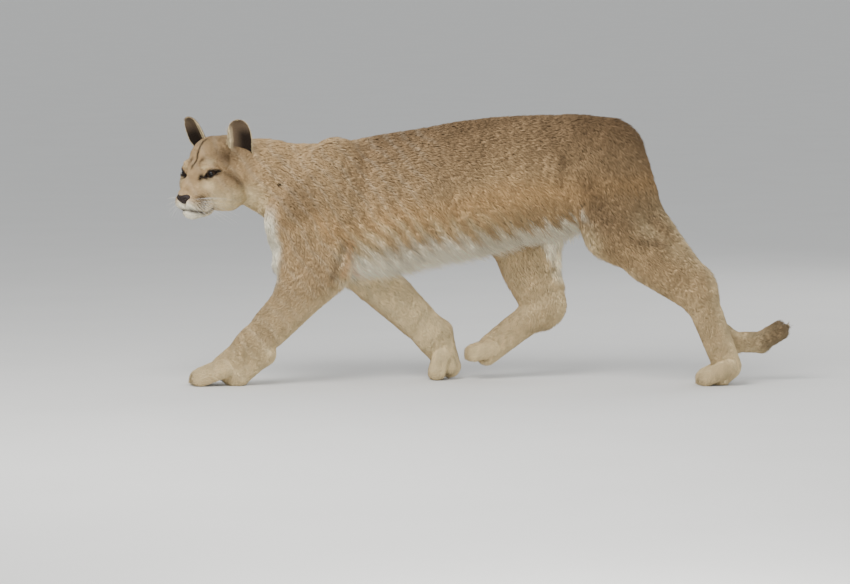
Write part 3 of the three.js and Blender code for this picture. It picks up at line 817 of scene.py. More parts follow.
class Finish:
    """One material, its surface shader, and a method that adds any node to it."""

    def __init__(self, name, roughness, **sockets):
        self.material = bpy.data.materials.new(name)
        self.material.use_nodes = True
        self.tree = self.material.node_tree
        self.surface = self.tree.nodes["Principled BSDF"]
        self.set(Roughness=roughness, **sockets)

    def set(self, **sockets):
        for name, value in sockets.items():
            fill(self.surface.inputs[name.replace("_", " ")], value)

    def node(self, kind, output=0, settings=None, values=None):
        made = self.tree.nodes.new("ShaderNode" + kind)
        for name, value in (settings or {}).items():
            setattr(made, name, value)
        for name, value in (values or {}).items():
            fill(made.inputs[name], value)
        return Value(made.outputs[output])

    def attribute(self, name, output="Color"):
        return self.node("Attribute", output, {"attribute_name": name})

    def mixed(self, share, a, b, blend="MIX"):
        """Colour a turned towards colour b by share."""
        settings = {"data_type": "RGBA", "blend_type": blend}
        return self.node("Mix", 2, settings, {0: share, 6: a, 7: b})

    def noise(self, scale, detail=2.0):
        values = {"Vector": self.node("TexCoord", "Object"), "Scale": scale, "Detail": detail}
        return self.node("TexNoise", 0, None, values)

    def dimmed(self, base, light):
        """The base colour times a number."""
        grey = self.node("CombineColor", 0, None, {0: light, 1: light, 2: light})
        return self.mixed(1.0, base, grey, "MULTIPLY")


print("surface inputs are set by name, such as Roughness")

# %% Finishes of skin and coat
def coat_finish():
    """Hair: darker and warmer at its root, paler towards its tip, with tufts that vary."""
    made = Finish("coat", 0.8, Specular_IOR_Level=0.12)
    along = made.node("SeparateColor", 0, None, {0: made.attribute("strand")})
    single, lock = (Value(along.socket.node.outputs[n]) for n in (1, 2))
    light = 0.66 + along * 0.26 + single * 0.12 + lock * 0.22
    light = light * (0.9 + made.noise(420.0) * 0.2)
    made.set(Base_Color=made.dimmed(made.attribute("coat"), light))
    return made.material


def skin_finish():
    """Under the hair: the same markings, deeper in tone, with short hair as a bump."""
    made = Finish("skin", 0.85, Specular_IOR_Level=0.2)
    grain, patch = made.noise(900.0, 3.0), made.noise(60.0, 3.0)
    light = 0.70 + grain * 0.20 + patch * 0.14
    bump = made.node("Bump", 0, None, {"Height": grain, "Strength": 0.5, "Distance": 0.0006})
    made.set(Base_Color=made.dimmed(made.attribute("coat"), light), Normal=bump)
    return made.material


COAT, SKIN = coat_finish(), skin_finish()
print("made", COAT.name, "and", SKIN.name)

# %% [markdown]
# ## Meshes from arrays
# Arrays become a mesh in one go. Each piece's place is in its points: its object stays at
# the origin. The modelling frame and the frame that was loaded differ by a shift, which
# the near eye gives, because its solid is a ball round a known point.

# %% Arrays to pieces
eye_low, eye_high = (np.array(corner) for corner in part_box("eye_left"))
SHIFT = (eye_low + eye_high) / 2 - head_point(EYE) * MM


def turned_out(points, faces):
    """The faces in the order that makes the volume inside them positive."""
    a, b, c = (points[faces[:, n]] - points.mean(0) for n in range(3))
    return faces if (np.cross(a, b) * c).sum() > 0 else faces[:, ::-1]


def piece(name, points, faces, material, slot, **layers):
    """A mesh object from points in millimetres, with named colour layers on its points."""
    mesh = bpy.data.meshes.new(name)
    faces = turned_out(points, faces)
    sides = faces.shape[1]
    mesh.vertices.add(len(points))
    mesh.vertices.foreach_set("co", (points * MM + SHIFT).astype(np.float32).ravel())
    mesh.loops.add(faces.size)
    mesh.loops.foreach_set("vertex_index", faces.astype(np.int32).ravel())
    mesh.polygons.add(len(faces))
    mesh.polygons.foreach_set("loop_start", np.arange(0, faces.size, sides, dtype=np.int32))
    mesh.update(calc_edges=True)
    mesh.polygons.foreach_set("use_smooth", np.ones(len(faces), bool))
    for layer, values in layers.items():
        held = mesh.color_attributes.new(layer, "FLOAT_COLOR", "POINT")
        rgba = np.ones((len(points), 4), np.float32)
        rgba[:, :3] = values
        held.data.foreach_set("color", rgba.ravel())
    mesh.materials.append(material)
    made = bpy.data.objects.new(name, mesh)
    bpy.context.scene.collection.objects.link(made)
    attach(made, "root")
    return made


skin = piece("skin", points, faces, SKIN, "coat_tan", coat=markings(points, normals))
LEG_PARTS = ("upper_arm", "forearm", "forepaw", "thigh", "lower_leg", "metatarsus", "hindpaw")
legs = [f"{part}_{side}" for side in SIDES for part in LEG_PARTS]
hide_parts("head", "lower_jaw", "neck", "chest", "belly", "rump", *legs,
            "tail_root", "tail_middle", "tail_tip")
print("shift of the frame", SHIFT.round(4))

# %% [markdown]
# ## The lie of the coat
# Hair lies away from the nose, back along the body and down the legs. Each stretch of bone
# says which way its hair lies and how long it is, and a place takes the mean of the
# stretches near it, weighted by how close they are.

# %% Lie and length of the hair
LIE_BLEND = 22  # how far the lie of one stretch reaches into the next


def unit_rows(v):
    """Each row scaled to a length of 1."""
    return v / np.maximum(np.linalg.norm(v, axis=1, keepdims=True), 1e-9)


def closeness(distance):
    """1 well inside a stretch's own flesh, falling off away from it."""
    return np.exp(-np.maximum(distance, -30) / LIE_BLEND)


def strand_table():
    """For each stretch: start, end, way (None for along), hair length and thickness."""
    rows = []
    for side in SIDES:
        j, h = FORE[side], HIND[side]
        rows += [
            (j["blade"], j["shoulder"], (0.8, 0, -0.6), 25, 62),
            (j["shoulder"], j["elbow"], None, 24, 60),
            (j["elbow"], j["wrist"], None, 16, 50),
            (j["wrist"], j["knuckle"], None, 12, 38),
            (j["knuckle"], j["toe"], None, 9, 26),
            (h["hip"], h["knee"], (0.5, 0, -0.85), 27, 85),
            (h["knee"], h["hock"], None, 21, 66),
            (h["seat"], h["heel"], None, 26, 40),
            (h["hock"], h["knuckle"], None, 14, 38),
            (h["knuckle"], h["toe"], None, 9, 26),
        ]
    rows += [(TAIL[n], TAIL[n + 1], None, 20, 34) for n in range(len(TAIL) - 1)]
    rows += [(NECK[n + 1], NECK[n], (0.9, 0, -0.42), 26, 95) for n in range(2)]
    return rows


LIE = [(Limb(a, b, r, r, 0.8, 1), way, length) for a, b, way, length, r in strand_table()]


def trunk_lie(p):
    """Straight back along the spine, turning down towards the belly and between the legs."""
    x, y, z = p.T
    top, bottom, _ = station(x)
    up = np.clip((z - bottom) / (top - bottom), 0, 1)
    down = lerp(1.5, 0.12, smooth(0.0, 0.95, up))
    down = lerp(2.5, down, smooth(-400, -300, x))
    return np.stack([np.ones_like(x), 0.1 * np.sign(y), -down], 1)


def hair(p, n):
    """Unit lie along the surface, and length, at points p with normals n."""
    x, y, z = p.T
    weight = closeness(trunk_distance(x, y, z))
    way = unit_rows(trunk_lie(p)) * weight[:, None]
    length = lerp(26.0, 50.0, belly_share(x, y, z)) * weight
    for limb, fixed, long in LIE:
        w = closeness(limb.distance(x, y, z))
        course = unit_rows(np.array([fixed if fixed is not None else limb.b - limb.a]))
        way += course * w[:, None]
        length += long * w
        weight += w
    way, length = unit_rows(way), length / weight
    nose = head_point((72, 0, -58))
    back = unit_rows(unit_rows(p - nose) + 0.9 * -AHEAD - 0.15 * UP)
    head = (1 - smooth(120, 170, near_head(x, y, z)))[:, None]
    way = unit_rows(lerp(way, back, head))
    short = lerp(4.2, 11.0, smooth(30, 130, np.linalg.norm(p - nose, axis=1)))
    length = lerp(length, short, head[:, 0])
    way = way - 0.88 * n * (way * n).sum(1, keepdims=True)
    return unit_rows(way), length


print(len(LIE), "stretches say how the hair lies")

# %% [markdown]
# ## Tufts
# Single hairs are too fine to make, so each tuft is a thin, flat, bent spindle of a few
# dozen hairs: one point at its root, three round its middle and one at the tip. Roots are
# drawn at random over the skin. Tufts are gathered into locks, as real fur is: each one's
# tip leans towards the middle of its lock, and a lock has its own tone and lift. On the
# belly the locks are looser and hang.

# %% Roots, locks and spindles
# Skewed sums of a cell's numbers, then digits far behind the point, differ from cell to cell.
DICE = np.array([(127.1, 311.7, 74.7), (269.5, 183.3, 246.1), (113.5, 271.9, 124.6)])
DICE_SCALE = 43758.5453


def scatter(points, faces, density):
    """Random places on the faces: as many on each as its area times its density."""
    a, b, c = (points[faces[:, n]] for n in range(3))
    area = np.linalg.norm(np.cross(b - a, c - a), axis=1) / 2
    wanted = np.cumsum(area * density)
    count = int(wanted[-1])
    place = (np.arange(count) + draw.random(count)) * wanted[-1] / count
    chosen = np.searchsorted(wanted, place).clip(0, len(faces) - 1)
    u, v = draw.random((2, count))
    over = u + v > 1
    u, v = np.where(over, 1 - u, u), np.where(over, 1 - v, v)
    return chosen, np.stack([1 - u - v, u, v], 1)


def on_faces(values, faces, chosen, share):
    """Values of the points, taken at places inside the chosen faces."""
    return (values[faces[chosen]] * share[:, :, None]).sum(1)


def lock_of(p, size):
    """The nearest middle of a jittered lattice of locks, and three random numbers for it."""
    cell = np.floor(p / size)
    best, middle, mark = np.full(len(p), 1e9), np.zeros_like(p), np.zeros_like(p)
    for step in np.stack(np.meshgrid(*[(-1, 0, 1)] * 3), -1).reshape(-1, 3):
        at = cell + step
        dice = np.stack([at @ row for row in DICE], 1)
        dice = np.abs(np.sin(dice) * DICE_SCALE) % 1
        centre = (at + 0.15 + 0.7 * dice) * size
        gap = np.linalg.norm(p - centre, axis=1)
        nearer = gap < best
        best = np.where(nearer, gap, best)
        middle[nearer], mark[nearer] = centre[nearer], dice[nearer]
    return middle, mark


MIDDLE = 0.42  # where a spindle is widest, as a share of its length
TUFT_POINTS, TUFT_FACES = 5, 6


def spindles(root, n, way, length, width, lift, tip_shift):
    """Points and faces of one flat, bent spindle per row. Its middle line starts in the
    skin, rises by lift and then lies along: its height goes as s(2 - s)."""
    across = unit_rows(np.cross(n, way))
    start = root - n * 0.8
    rise = lift * MIDDLE * (2 - MIDDLE)
    middle = root + way * (length * MIDDLE)[:, None] + n * rise[:, None] + tip_shift * MIDDLE**2
    tip = root + way * length[:, None] + n * lift[:, None] + tip_shift
    half = (width / 2)[:, None]
    points = np.stack([start, middle - across * half, middle + across * half,
                       middle + n * half * 0.6, tip], 1)
    shape = np.array([(0, 1, 2), (0, 2, 3), (0, 3, 1), (4, 2, 1), (4, 3, 2), (4, 1, 3)])
    faces = (np.arange(len(root)) * TUFT_POINTS)[:, None, None] + shape
    return points.reshape(-1, 3), faces.reshape(-1, 3)


ALONG = np.array([0.0, MIDDLE, MIDDLE, MIDDLE, 1.0])
print("one spindle has", TUFT_POINTS, "points and", TUFT_FACES, "triangles")

# %% [markdown]
# The coat gets a map of its own, named OFBake, in which each tuft is a small patch at its root's
# place on an unwrap of the skin: one strip of the square for the trunk, one for the head and neck,
# one for each leg and one for the tail, each unrolled round its bones.

# %% The coat's map
def chain(*joints):
    """Bare lines from each joint to the next."""
    return [Limb(a, b, 1, 1, 1, 1) for a, b in zip(joints, joints[1:])]


def strips():
    """A name, its bones and its share of the map's height, for each strip."""
    skull = chain(head_point((-110, 0, 0)), head_point((60, 0, -50)))
    rows = [("trunk", chain((-330, 0, 480), (500, 0, 570)), 0.28),
            ("head", chain(NECK[0], NECK[2]) + skull, 0.20)]
    for side in SIDES:
        j, h = FORE[side], HIND[side]
        rows.append((f"fore_{side}", chain(j["shoulder"], j["elbow"], j["wrist"], j["toe"]), 0.10))
        hind = chain(h["hip"], h["knee"], h["hock"], h["knuckle"], h["toe"])
        rows.append((f"hind_{side}", hind, 0.10))
    return rows + [("tail", chain(*TAIL), 0.08)]


def unwrap(p):
    """U: share of the way along the nearest strip of bones. V: angle round it."""
    best, made, base = np.full(len(p), 1e9), np.zeros((len(p), 2)), 0.0
    for name, bones, tall in strips():
        slack = 90 if name == "trunk" else 0
        for n, bone in enumerate(bones):
            t, off = bone.along(*p.T)
            nearer = off - slack < best
            best = np.where(nearer, off - slack, best)
            line = unit_rows((bone.b - bone.a)[None])[0]
            one = np.cross(line, (0, 1, 0.01))
            two = np.cross(line, one)
            d = p - (bone.a + t[:, None] * (bone.b - bone.a))
            turn = np.arctan2(d @ two, d @ one) / (2 * math.pi) + 0.5
            place = np.stack([(n + t) / len(bones), base + turn * tall], 1)
            made[nearer] = place[nearer]
        base += tall
    return 0.002 + (0.995, 0.99) * made


PATCH = np.array([(0.5, 0), (0, 0.5), (1, 0.5), (0.5, 0.6), (0.5, 1)]) * 0.003
print("strips:", [name for name, bones, tall in strips()])

# %% Lay the coat
def keep_clear(p):
    """0 where no tuft grows: on the eyes, the nose, the lips and the soles."""
    f, l, u = head_frame(*p.T)
    clear = np.ones(len(p))
    for sign in (1, -1):
        gaze, along, across = in_eye(f, l, u, sign)
        clear *= (lid_edge(along, across) > 1.0) | (gaze < 0) | (np.abs(along) > 24)
    clear *= ((f - 58) / 14) ** 2 + (l / 23) ** 2 + ((u + 63) / 16) ** 2 > 1
    lip = np.abs(u - np.interp(f, *LIPS)) < 1.6
    clear *= ~(lip & (f > -14) & (f < 80) & (near_head(*p.T) < 150))
    return clear * (p[:, 2] > 3.0)


def density_at(p):
    """Tufts for each square millimetre: finer where the hair is short."""
    low = lerp(0.24, 0.094, smooth(60, 330, p[:, 2]))
    head = 1 - smooth(120, 170, near_head(*p.T))
    return lerp(low, 0.38, head)


LOCK = 11.0  # a lock's width
LOCK_STRETCH = np.array([1, 1, 0.45])  # locks are longer up and down


def coat_arrays():
    """Roots, normals, points, faces and tones of all the coat's tufts."""
    middles = points[faces].mean(1)
    chosen, share = scatter(points, faces, density_at(middles) * keep_clear(middles))
    root = on_faces(points, faces, chosen, share)
    n = unit_rows(on_faces(normals, faces, chosen, share))
    way, length = hair(root, n)
    depth = coat_depth(*root.T)
    middle, mark = lock_of(root * LOCK_STRETCH, LOCK)
    middle = middle / LOCK_STRETCH
    count = len(root)
    swing = 0.16 * draw.standard_normal(count)
    swing = swing + 0.12 * waves(root, 60) + 0.10 * waves(root, 18, 1.0)
    way = unit_rows(way + np.cross(n, way) * swing[:, None])
    length = length * (0.75 + 0.5 * draw.random(count)) * (0.85 + 0.3 * mark[:, 0])
    lift = depth * (0.66 + 0.24 * draw.random(count) + 0.24 * mark[:, 1])
    pull = middle - root
    pull = pull - n * (pull * n).sum(1, keepdims=True)
    loose = belly_share(*root.T)
    pull *= (np.clip(length / 40, 0, 0.5) * (0.32 + 1.5 * loose))[:, None]
    length *= 1 + loose * (0.5 * mark[:, 2] - 0.1)
    hang = (loose * length * 0.6)[:, None] * np.array([0.35, 0, -1.0])
    width = np.clip(length * 0.09, 0.85, 2.4)
    shade = 0.5 + (mark[:, 2] - 0.5) * (1 + 1.8 * loose)
    tones = np.stack([draw.random(count), shade], 1)
    made, spans = spindles(root, n, way, length, width, lift, pull * 0.6 + hang * 0.5)
    return root, n, made, spans, tones


root, root_normal, coat_points, coat_faces, tones = coat_arrays()
coat_points[:, 2] = np.maximum(coat_points[:, 2], 0.2)
hue = markings(root, root_normal)
uv = unwrap(root)
print("coat:", len(root), "tufts and", len(coat_faces), "triangles")

# %% Part the coat into pieces
PIECE_TUFTS = 33000


def strand_layer(tones):
    """Along, own tone and lock's tone, for each point of each tuft."""
    along = np.tile(ALONG, len(tones))[:, None]
    return np.concatenate([along, np.repeat(tones, TUFT_POINTS, 0)], 1)


def add_map(made, places):
    """The map named OFBake: a small patch for each tuft at its root's place."""
    patch = (places[:, None] + PATCH).reshape(-1, 2)
    layer = made.data.uv_layers.new(name="OFBake")
    corner = np.empty(len(made.data.loops), np.int32)
    made.data.loops.foreach_get("vertex_index", corner)
    layer.data.foreach_set("uv", patch[corner].astype(np.float32).ravel())


def coat_piece(number, rows):
    """The tufts of some rows as one piece, with colours, strand values and the map."""
    of_points = (rows[:, None] * TUFT_POINTS + np.arange(TUFT_POINTS)).ravel()
    shape = coat_faces[:TUFT_FACES] + (np.arange(len(rows)) * TUFT_POINTS)[:, None, None]
    strand = strand_layer(tones[rows])
    made = piece(f"coat_{number}", coat_points[of_points], shape.reshape(-1, 3), COAT,
                 "coat_tan", coat=np.repeat(hue[rows], TUFT_POINTS, 0), strand=strand)
    add_map(made, uv[rows])
    return made


order = np.argsort(root[:, 0], kind="stable")
coat = [coat_piece(n, order[start:start + PIECE_TUFTS])
        for n, start in enumerate(range(0, len(order), PIECE_TUFTS))]
print("coat pieces:", [len(c.data.polygons) for c in coat])

# %% [markdown]
# ## Ears
# An ear is a cupped leaf with a thick rolled rim. It is a grid of two parameters, up the
# ear and round its edge, made closed by giving it an inner and an outer sheet.

# %% Ear shape
EARS = {
    "left": ((-100, 66, 46), (-62, 82, 139), (0.79, 0.62, 0)),
    "right": ((-107, -68, 46), (-54, -82, 142), (0.98, -0.16, 0)),
}
EAR_WIDTH, EAR_THICK = 64.0, 4.0
EAR_ROWS, EAR_COLUMNS = 30, 28
EAR_ROOT = -0.16  # how far down s starts, under the coat


def ear_sheet(side_name, s, a, thick):
    """A point of the ear: s runs from root to tip and a across, from -1 to 1. The leaf is
    rolled round its long axis, and less so towards its tip."""
    base, tip, open_to = (np.array(v, float) for v in EARS[side_name])
    up = (tip - base) / np.linalg.norm(tip - base)
    open_to = open_to - up * (open_to @ up)
    open_to /= np.linalg.norm(open_to)
    side = np.cross(up, open_to)
    above = np.clip((s - 0.2) / 0.8, 0, 1)
    half = EAR_WIDTH / 2 * np.sqrt(np.maximum(1 - above**4, 0.004))
    cup = lerp(1.25, 0.55, np.clip(s, 0, 1))
    turn, radius = a * cup, half / np.sin(cup)
    depth = (1 - np.cos(turn)) * radius - half * 0.35 + thick
    local = base + np.multiply.outer(s * np.linalg.norm(tip - base), up)
    local = local + (np.sin(turn) * radius)[..., None] * side + depth[..., None] * open_to
    return head_point(local)


def rooted(p, s):
    """How far each place near the root has to slide down to lie 12 mm under the coat."""
    flat = p.reshape(-1, 3)
    share = 1 - smooth(-0.05, 0.4, s.ravel())
    out = np.maximum(field(*flat.T) + 12, 0) * share
    return (unit_rows(slope(field, flat, 5.0)) * out[:, None]).reshape(p.shape)


def ear_grid(side_name):
    """Rows crowd towards the tip, and the two sheets draw together at the rim."""
    s = lerp(EAR_ROOT, 1, np.sin(np.linspace(0, math.pi / 2, EAR_ROWS)))
    a = np.linspace(-1, 1, EAR_COLUMNS)
    s, a = np.meshgrid(s, a, indexing="ij")
    rim = np.sqrt(np.clip(1 - np.maximum(np.abs(a), s) ** 4, 0.06, 1))
    front = ear_sheet(side_name, s, a, EAR_THICK / 2 * rim)
    back = ear_sheet(side_name, s, a, -EAR_THICK / 2 * rim)
    sink = rooted((front + back) / 2, s)
    return s, a, front - sink, back - sink


def shell_faces(rows, columns):
    """Faces of two sheets that share their shape, joined round the edge."""
    at = np.arange(rows * columns).reshape(rows, columns)
    a, b, c, d = at[:-1, :-1], at[:-1, 1:], at[1:, 1:], at[1:, :-1]
    front = np.stack([a, b, c, d], -1).reshape(-1, 4)
    loop = np.concatenate([at[0, :-1], at[:-1, -1], at[-1, :0:-1], at[:0:-1, 0]])
    after, n = np.roll(loop, -1), rows * columns
    edge = np.stack([after, loop, loop + n, after + n], 1)
    return np.concatenate([front, front[:, ::-1] + n, edge])


def ear_edge(s, a):
    """How near the ear's edge a place is: 1 at the edge itself."""
    return np.maximum(np.abs(a) ** 1.5, np.clip((s - 0.55) / 0.45, 0, 1) ** 2)


def ear_colours(s, a, inside, front_edge):
    """Inside: darker, with painted shade deepest low down behind in the ear's hollow, and a pale
    edge. Dark brown outside.
    """
    s, a = np.ravel(s), np.ravel(a)
    edge = ear_edge(s, a)
    if inside:
        made = np.tile(colour(118, 100, 80), (s.size, 1))
        # Painted shade in the ear's hollow, low down and towards the back.
        low = (1 - smooth(0.45, 0.85, s)) * smooth(-0.6, 0.3, -a * front_edge)
        made = tint(made, colour(34, 26, 21), 0.95 * low)
        made = tint(made, CREAM, 0.25 * smooth(0.4, 0.95, a * front_edge) * (1 - 0.7 * s))
        return tint(made, CREAM, 0.9 * smooth(0.92, 0.99, edge))
    made = np.tile(colour(92, 74, 58), (s.size, 1))
    made = tint(made, colour(200, 170, 135), 0.8 * smooth(0.86, 0.97, edge))
    return tint(made, TAN, 0.9 * (1 - smooth(0.0, 0.35, s)))


FRONT_EDGE = {"left": -1, "right": 1}  # the sign of a at the ear's front edge
ears = {}
for side in EARS:
    s, a, front, back = ear_grid(side)
    shell = np.concatenate([front.reshape(-1, 3), back.reshape(-1, 3)])
    hues = np.concatenate([ear_colours(s, a, inside, FRONT_EDGE[side]) for inside in (1, 0)])
    made = piece(f"ear_{side}_skin", shell, shell_faces(*s.shape),
                 SKIN, "coat_ear", coat=hues)
    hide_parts(f"ear_{side}")
    ears[side] = (s, a, shell, front)
print("ears of", len(shell), "points each")

# %% Fur of the ears
EAR_STRIP = {"left": 0.965, "right": 0.98}  # where each ear's strip starts on the map


def ear_roots(side):
    """Random places on an ear: the place, the way out, s, a and 1 on the inner sheet."""
    s, a, shell, _ = ears[side]
    quads = turned_out(shell, shell_faces(*s.shape))
    corners = np.concatenate([quads[:, :3], quads[:, [0, 2, 3]]])
    inner = np.repeat((1.0, 0.0), s.size)
    known = np.stack([np.tile(s.ravel(), 2), np.tile(a.ravel(), 2), inner], 1)
    chosen, share = scatter(shell, corners, np.full(len(corners), 0.42))
    one, two, three = (shell[corners[chosen, n]] for n in range(3))
    n = unit_rows(np.cross(two - one, three - one))
    s, a, inner = on_faces(known, corners, chosen, share).T
    return on_faces(shell, corners, chosen, share), n, s, a, np.round(inner)


def ear_coat(side):
    """Very short fur outside, and longer hair that leans across the opening from its
    front edge."""
    root, n, s, a, inner = ear_roots(side)
    front = ears[side][3]
    up = unit_rows((front[-1] - front[0]).mean(0)[None])
    across = unit_rows((front[8, -1] - front[8, 0])[None]) * FRONT_EDGE[side]
    fringe = inner * smooth(0.35, 0.9, a * FRONT_EDGE[side]) * (1 - smooth(0.55, 0.9, s))
    way = up - across * (0.7 * fringe)[:, None] + across * (0.35 * a * (1 - inner))[:, None]
    way = unit_rows(way - n * (way * n).sum(1, keepdims=True))
    count = len(root)
    length = (5.0 + 2.0 * inner + 12.0 * fringe) * (0.7 + 0.6 * draw.random(count))
    lift = (1.2 + 0.8 * inner + 3.5 * fringe) * (0.6 + 0.6 * draw.random(count))
    # The inner tufts take the inside's colours, the painted shade of the hollow included.
    within, without = (ear_colours(s, a, inside, FRONT_EDGE[side]) for inside in (1, 0))
    hues = np.where(inner[:, None] > 0.5, within, without)
    hues = tint(hues, CREAM, 0.2 * fringe)
    width = np.full(count, 0.9) + 0.3 * fringe
    made, shape = spindles(root, n, way, length, width, lift, np.zeros((count, 3)))
    tones = draw.random((count, 2))
    fur = piece(f"ear_{side}_coat", made, shape, COAT, "coat_ear",
                coat=np.repeat(hues, TUFT_POINTS, 0), strand=strand_layer(tones))
    place = np.stack([s * 0.8 + 0.16, EAR_STRIP[side] + 0.003 * (a + 1) + 0.006 * inner], 1)
    add_map(fur, place)
    return count


print("ear tufts", [ear_coat(side) for side in EARS])

# %% [markdown]
# ## Eyes
# A cat's eye is a dark, wet ball with a slightly bulging window. The iris is a ring in the
# colour, set by the angle from the gaze, and a very smooth surface gives the glint.

# %% Eyes
def ball(rows, columns):
    """Angles from the pole and round it, for the rings between the two poles."""
    t = np.linspace(0, math.pi, rows)[1:-1]
    turn = np.linspace(0, 2 * math.pi, columns, endpoint=False)
    return np.meshgrid(t, turn, indexing="ij")


def ball_faces(rows, columns):
    """Triangles of a ball: rings of columns between two pole points, which come last."""
    at = np.arange(rows * columns).reshape(rows, columns)
    nxt = np.roll(at, -1, 1)
    a, b, c, d = (v.ravel() for v in (at[:-1], at[1:], nxt[1:], nxt[:-1]))
    first, last = rows * columns, rows * columns + 1
    caps = [np.stack([np.full(columns, first), at[0], nxt[0]], 1),
            np.stack([np.full(columns, last), nxt[-1], at[-1]], 1)]
    return np.concatenate([np.stack([a, b, c], 1), np.stack([a, c, d], 1), *caps])


def eye_finish():
    made = Finish("eye", 0.06, Specular_IOR_Level=0.14)
    made.set(Base_Color=made.attribute("coat"))
    return made.material


EYE_FINISH = eye_finish()
EYE_ROWS, EYE_COLUMNS = 40, 48


def eye_piece(side, sign):
    """A ball with a bulge round the gaze: radius plus a bell of the angle from it."""
    gaze, corner, _ = eye_axes(sign)
    t, turn = ball(EYE_ROWS, EYE_COLUMNS)
    bulge = EYE_RADIUS - 0.3 + 1.2 * bell(t, 0.5)
    ring = np.sin(t) * bulge
    local = [np.cos(t) * bulge, ring * np.cos(turn), ring * np.sin(turn)]
    ends = np.array([[EYE_RADIUS + 0.9, 0, 0], [-EYE_RADIUS + 0.3, 0, 0]])
    local = np.concatenate([np.stack(local, -1).reshape(-1, 3), ends])
    axes = np.stack([gaze, corner, np.cross(gaze, corner)])
    local = local @ axes + EYE * (1, sign, 1)
    shape = head_point(local)
    angle = np.append(t.ravel(), (0, math.pi))
    rays = np.append((np.sin(turn * 23) + np.sin(turn * 41)).ravel() / 2, (0, 0))
    hues = np.tile(colour(44, 31, 19), (len(angle), 1)) * (1 + 0.25 * rays[:, None])
    hues = tint(hues, colour(12, 9, 7), 1 - smooth(0.38, 0.44, angle))
    hues = tint(hues, colour(24, 16, 10), smooth(0.60, 0.76, angle))
    net = ball_faces(EYE_ROWS - 2, EYE_COLUMNS)
    made = piece(f"eye_{side}_glass", shape, net, EYE_FINISH, "eye", coat=hues)
    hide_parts(f"eye_{side}")


for side, sign in (("left", 1), ("right", -1)):
    eye_piece(side, sign)
print("eyes set", round(2 * EYE_RADIUS), "mm across")

# %% [markdown]
# ## Nose
# The nose leather is a ball pulled into a wedge: broad on top, narrow below, with a
# comma-shaped nostril sunk in each side and a groove down its middle.

# %% Nose
NOSE = dict(centre=(58, 0, -63), width=46, height=32, depth=26)
NOSE_TILT = 0.25
NOSE_ROWS, NOSE_COLUMNS = 56, 72


def nose_finish():
    made = Finish("nose_leather", 0.55, Specular_IOR_Level=0.25)
    pebble = made.node("TexVoronoi", 0, None, {"Scale": 900.0})
    bump = made.node("Bump", 0, None, {"Height": pebble, "Strength": 0.35, "Distance": 0.0006})
    base = made.mixed(made.noise(300.0), made.attribute("coat"), (0.03, 0.018, 0.015, 1))
    made.set(Base_Color=base, Normal=bump)
    return made.material


def nose_piece():
    """A ball narrowed downwards, less a bell for each nostril and one for the groove."""
    t, turn = ball(NOSE_ROWS, NOSE_COLUMNS)
    local = [np.sin(t) * np.cos(turn), np.cos(t), np.sin(t) * np.sin(turn)]
    local = np.stack(local, -1).reshape(-1, 3)
    x, y, z = np.concatenate([local, [[0, 1, 0], [0, -1, 0]]]).T
    narrow = 1 - 0.58 * np.maximum(0, -z) - 0.1 * z
    aside = np.abs(y) - 0.42
    hole = bell(aside, 0.17) * bell(z + 0.08 - 0.5 * aside, 0.2) * (x > 0)
    groove = bell(y, 0.06) * (x > 0) * (z < 0.35)
    x = (x - 0.45 * hole - 0.14 * groove) * NOSE["depth"] / 2
    up = z * NOSE["height"] / 2
    f = x * math.cos(NOSE_TILT) + up * math.sin(NOSE_TILT)
    u = -x * math.sin(NOSE_TILT) + up * math.cos(NOSE_TILT)
    placed = head_point(np.stack([f, y * NOSE["width"] / 2 * narrow, u], 1) + NOSE["centre"])
    hues = np.tile(colour(24, 17, 14), (len(placed), 1))
    # Darker in the nostrils, which is painted shade, and a little darker towards the top.
    hues = tint(hues, colour(20, 14, 12), np.maximum(hole, smooth(0.1, 0.8, z)))
    net = ball_faces(NOSE_ROWS - 2, NOSE_COLUMNS)
    made = piece("nose_leather", placed, net, nose_finish(), "nose_leather", coat=hues)
    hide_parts("nose")


nose_piece()
print("nose", NOSE["width"], "mm wide")

# %% [markdown]
# ## Whiskers
# Whiskers are stiff white hairs in rows on the upper lip. Each is a thin round tube that
# tapers and droops along its length.

# %% Whiskers
WHISKER_ROWS, WHISKERS_IN_ROW = 4, 5
WHISKER_STATIONS, WHISKER_SIDES = 9, 5
LONG_WHISKER = 70
WHISKER_FALL = np.array([-16, 0, -14])  # how far the tip of a long one gives way


def whisker_lines():
    """Start, way and length of each whisker, in the head's frame."""
    row, place = np.meshgrid(np.arange(WHISKER_ROWS), np.arange(WHISKERS_IN_ROW), indexing="ij")
    row, place = row.ravel(), place.ravel()
    f = 52 - 7.5 * place - 1.5 * row
    l = 24 + 3.2 * place
    u = -66 - 7 * row + 0.4 * place
    way = np.stack([0.25 - 0.28 * place, np.full(len(row), 1.0), 0.12 - 0.22 * row], 1)
    length = 43 + 10 * place + 6 * draw.random(len(row))
    return np.stack([f, l, u], 1).astype(float), unit_rows(way), length


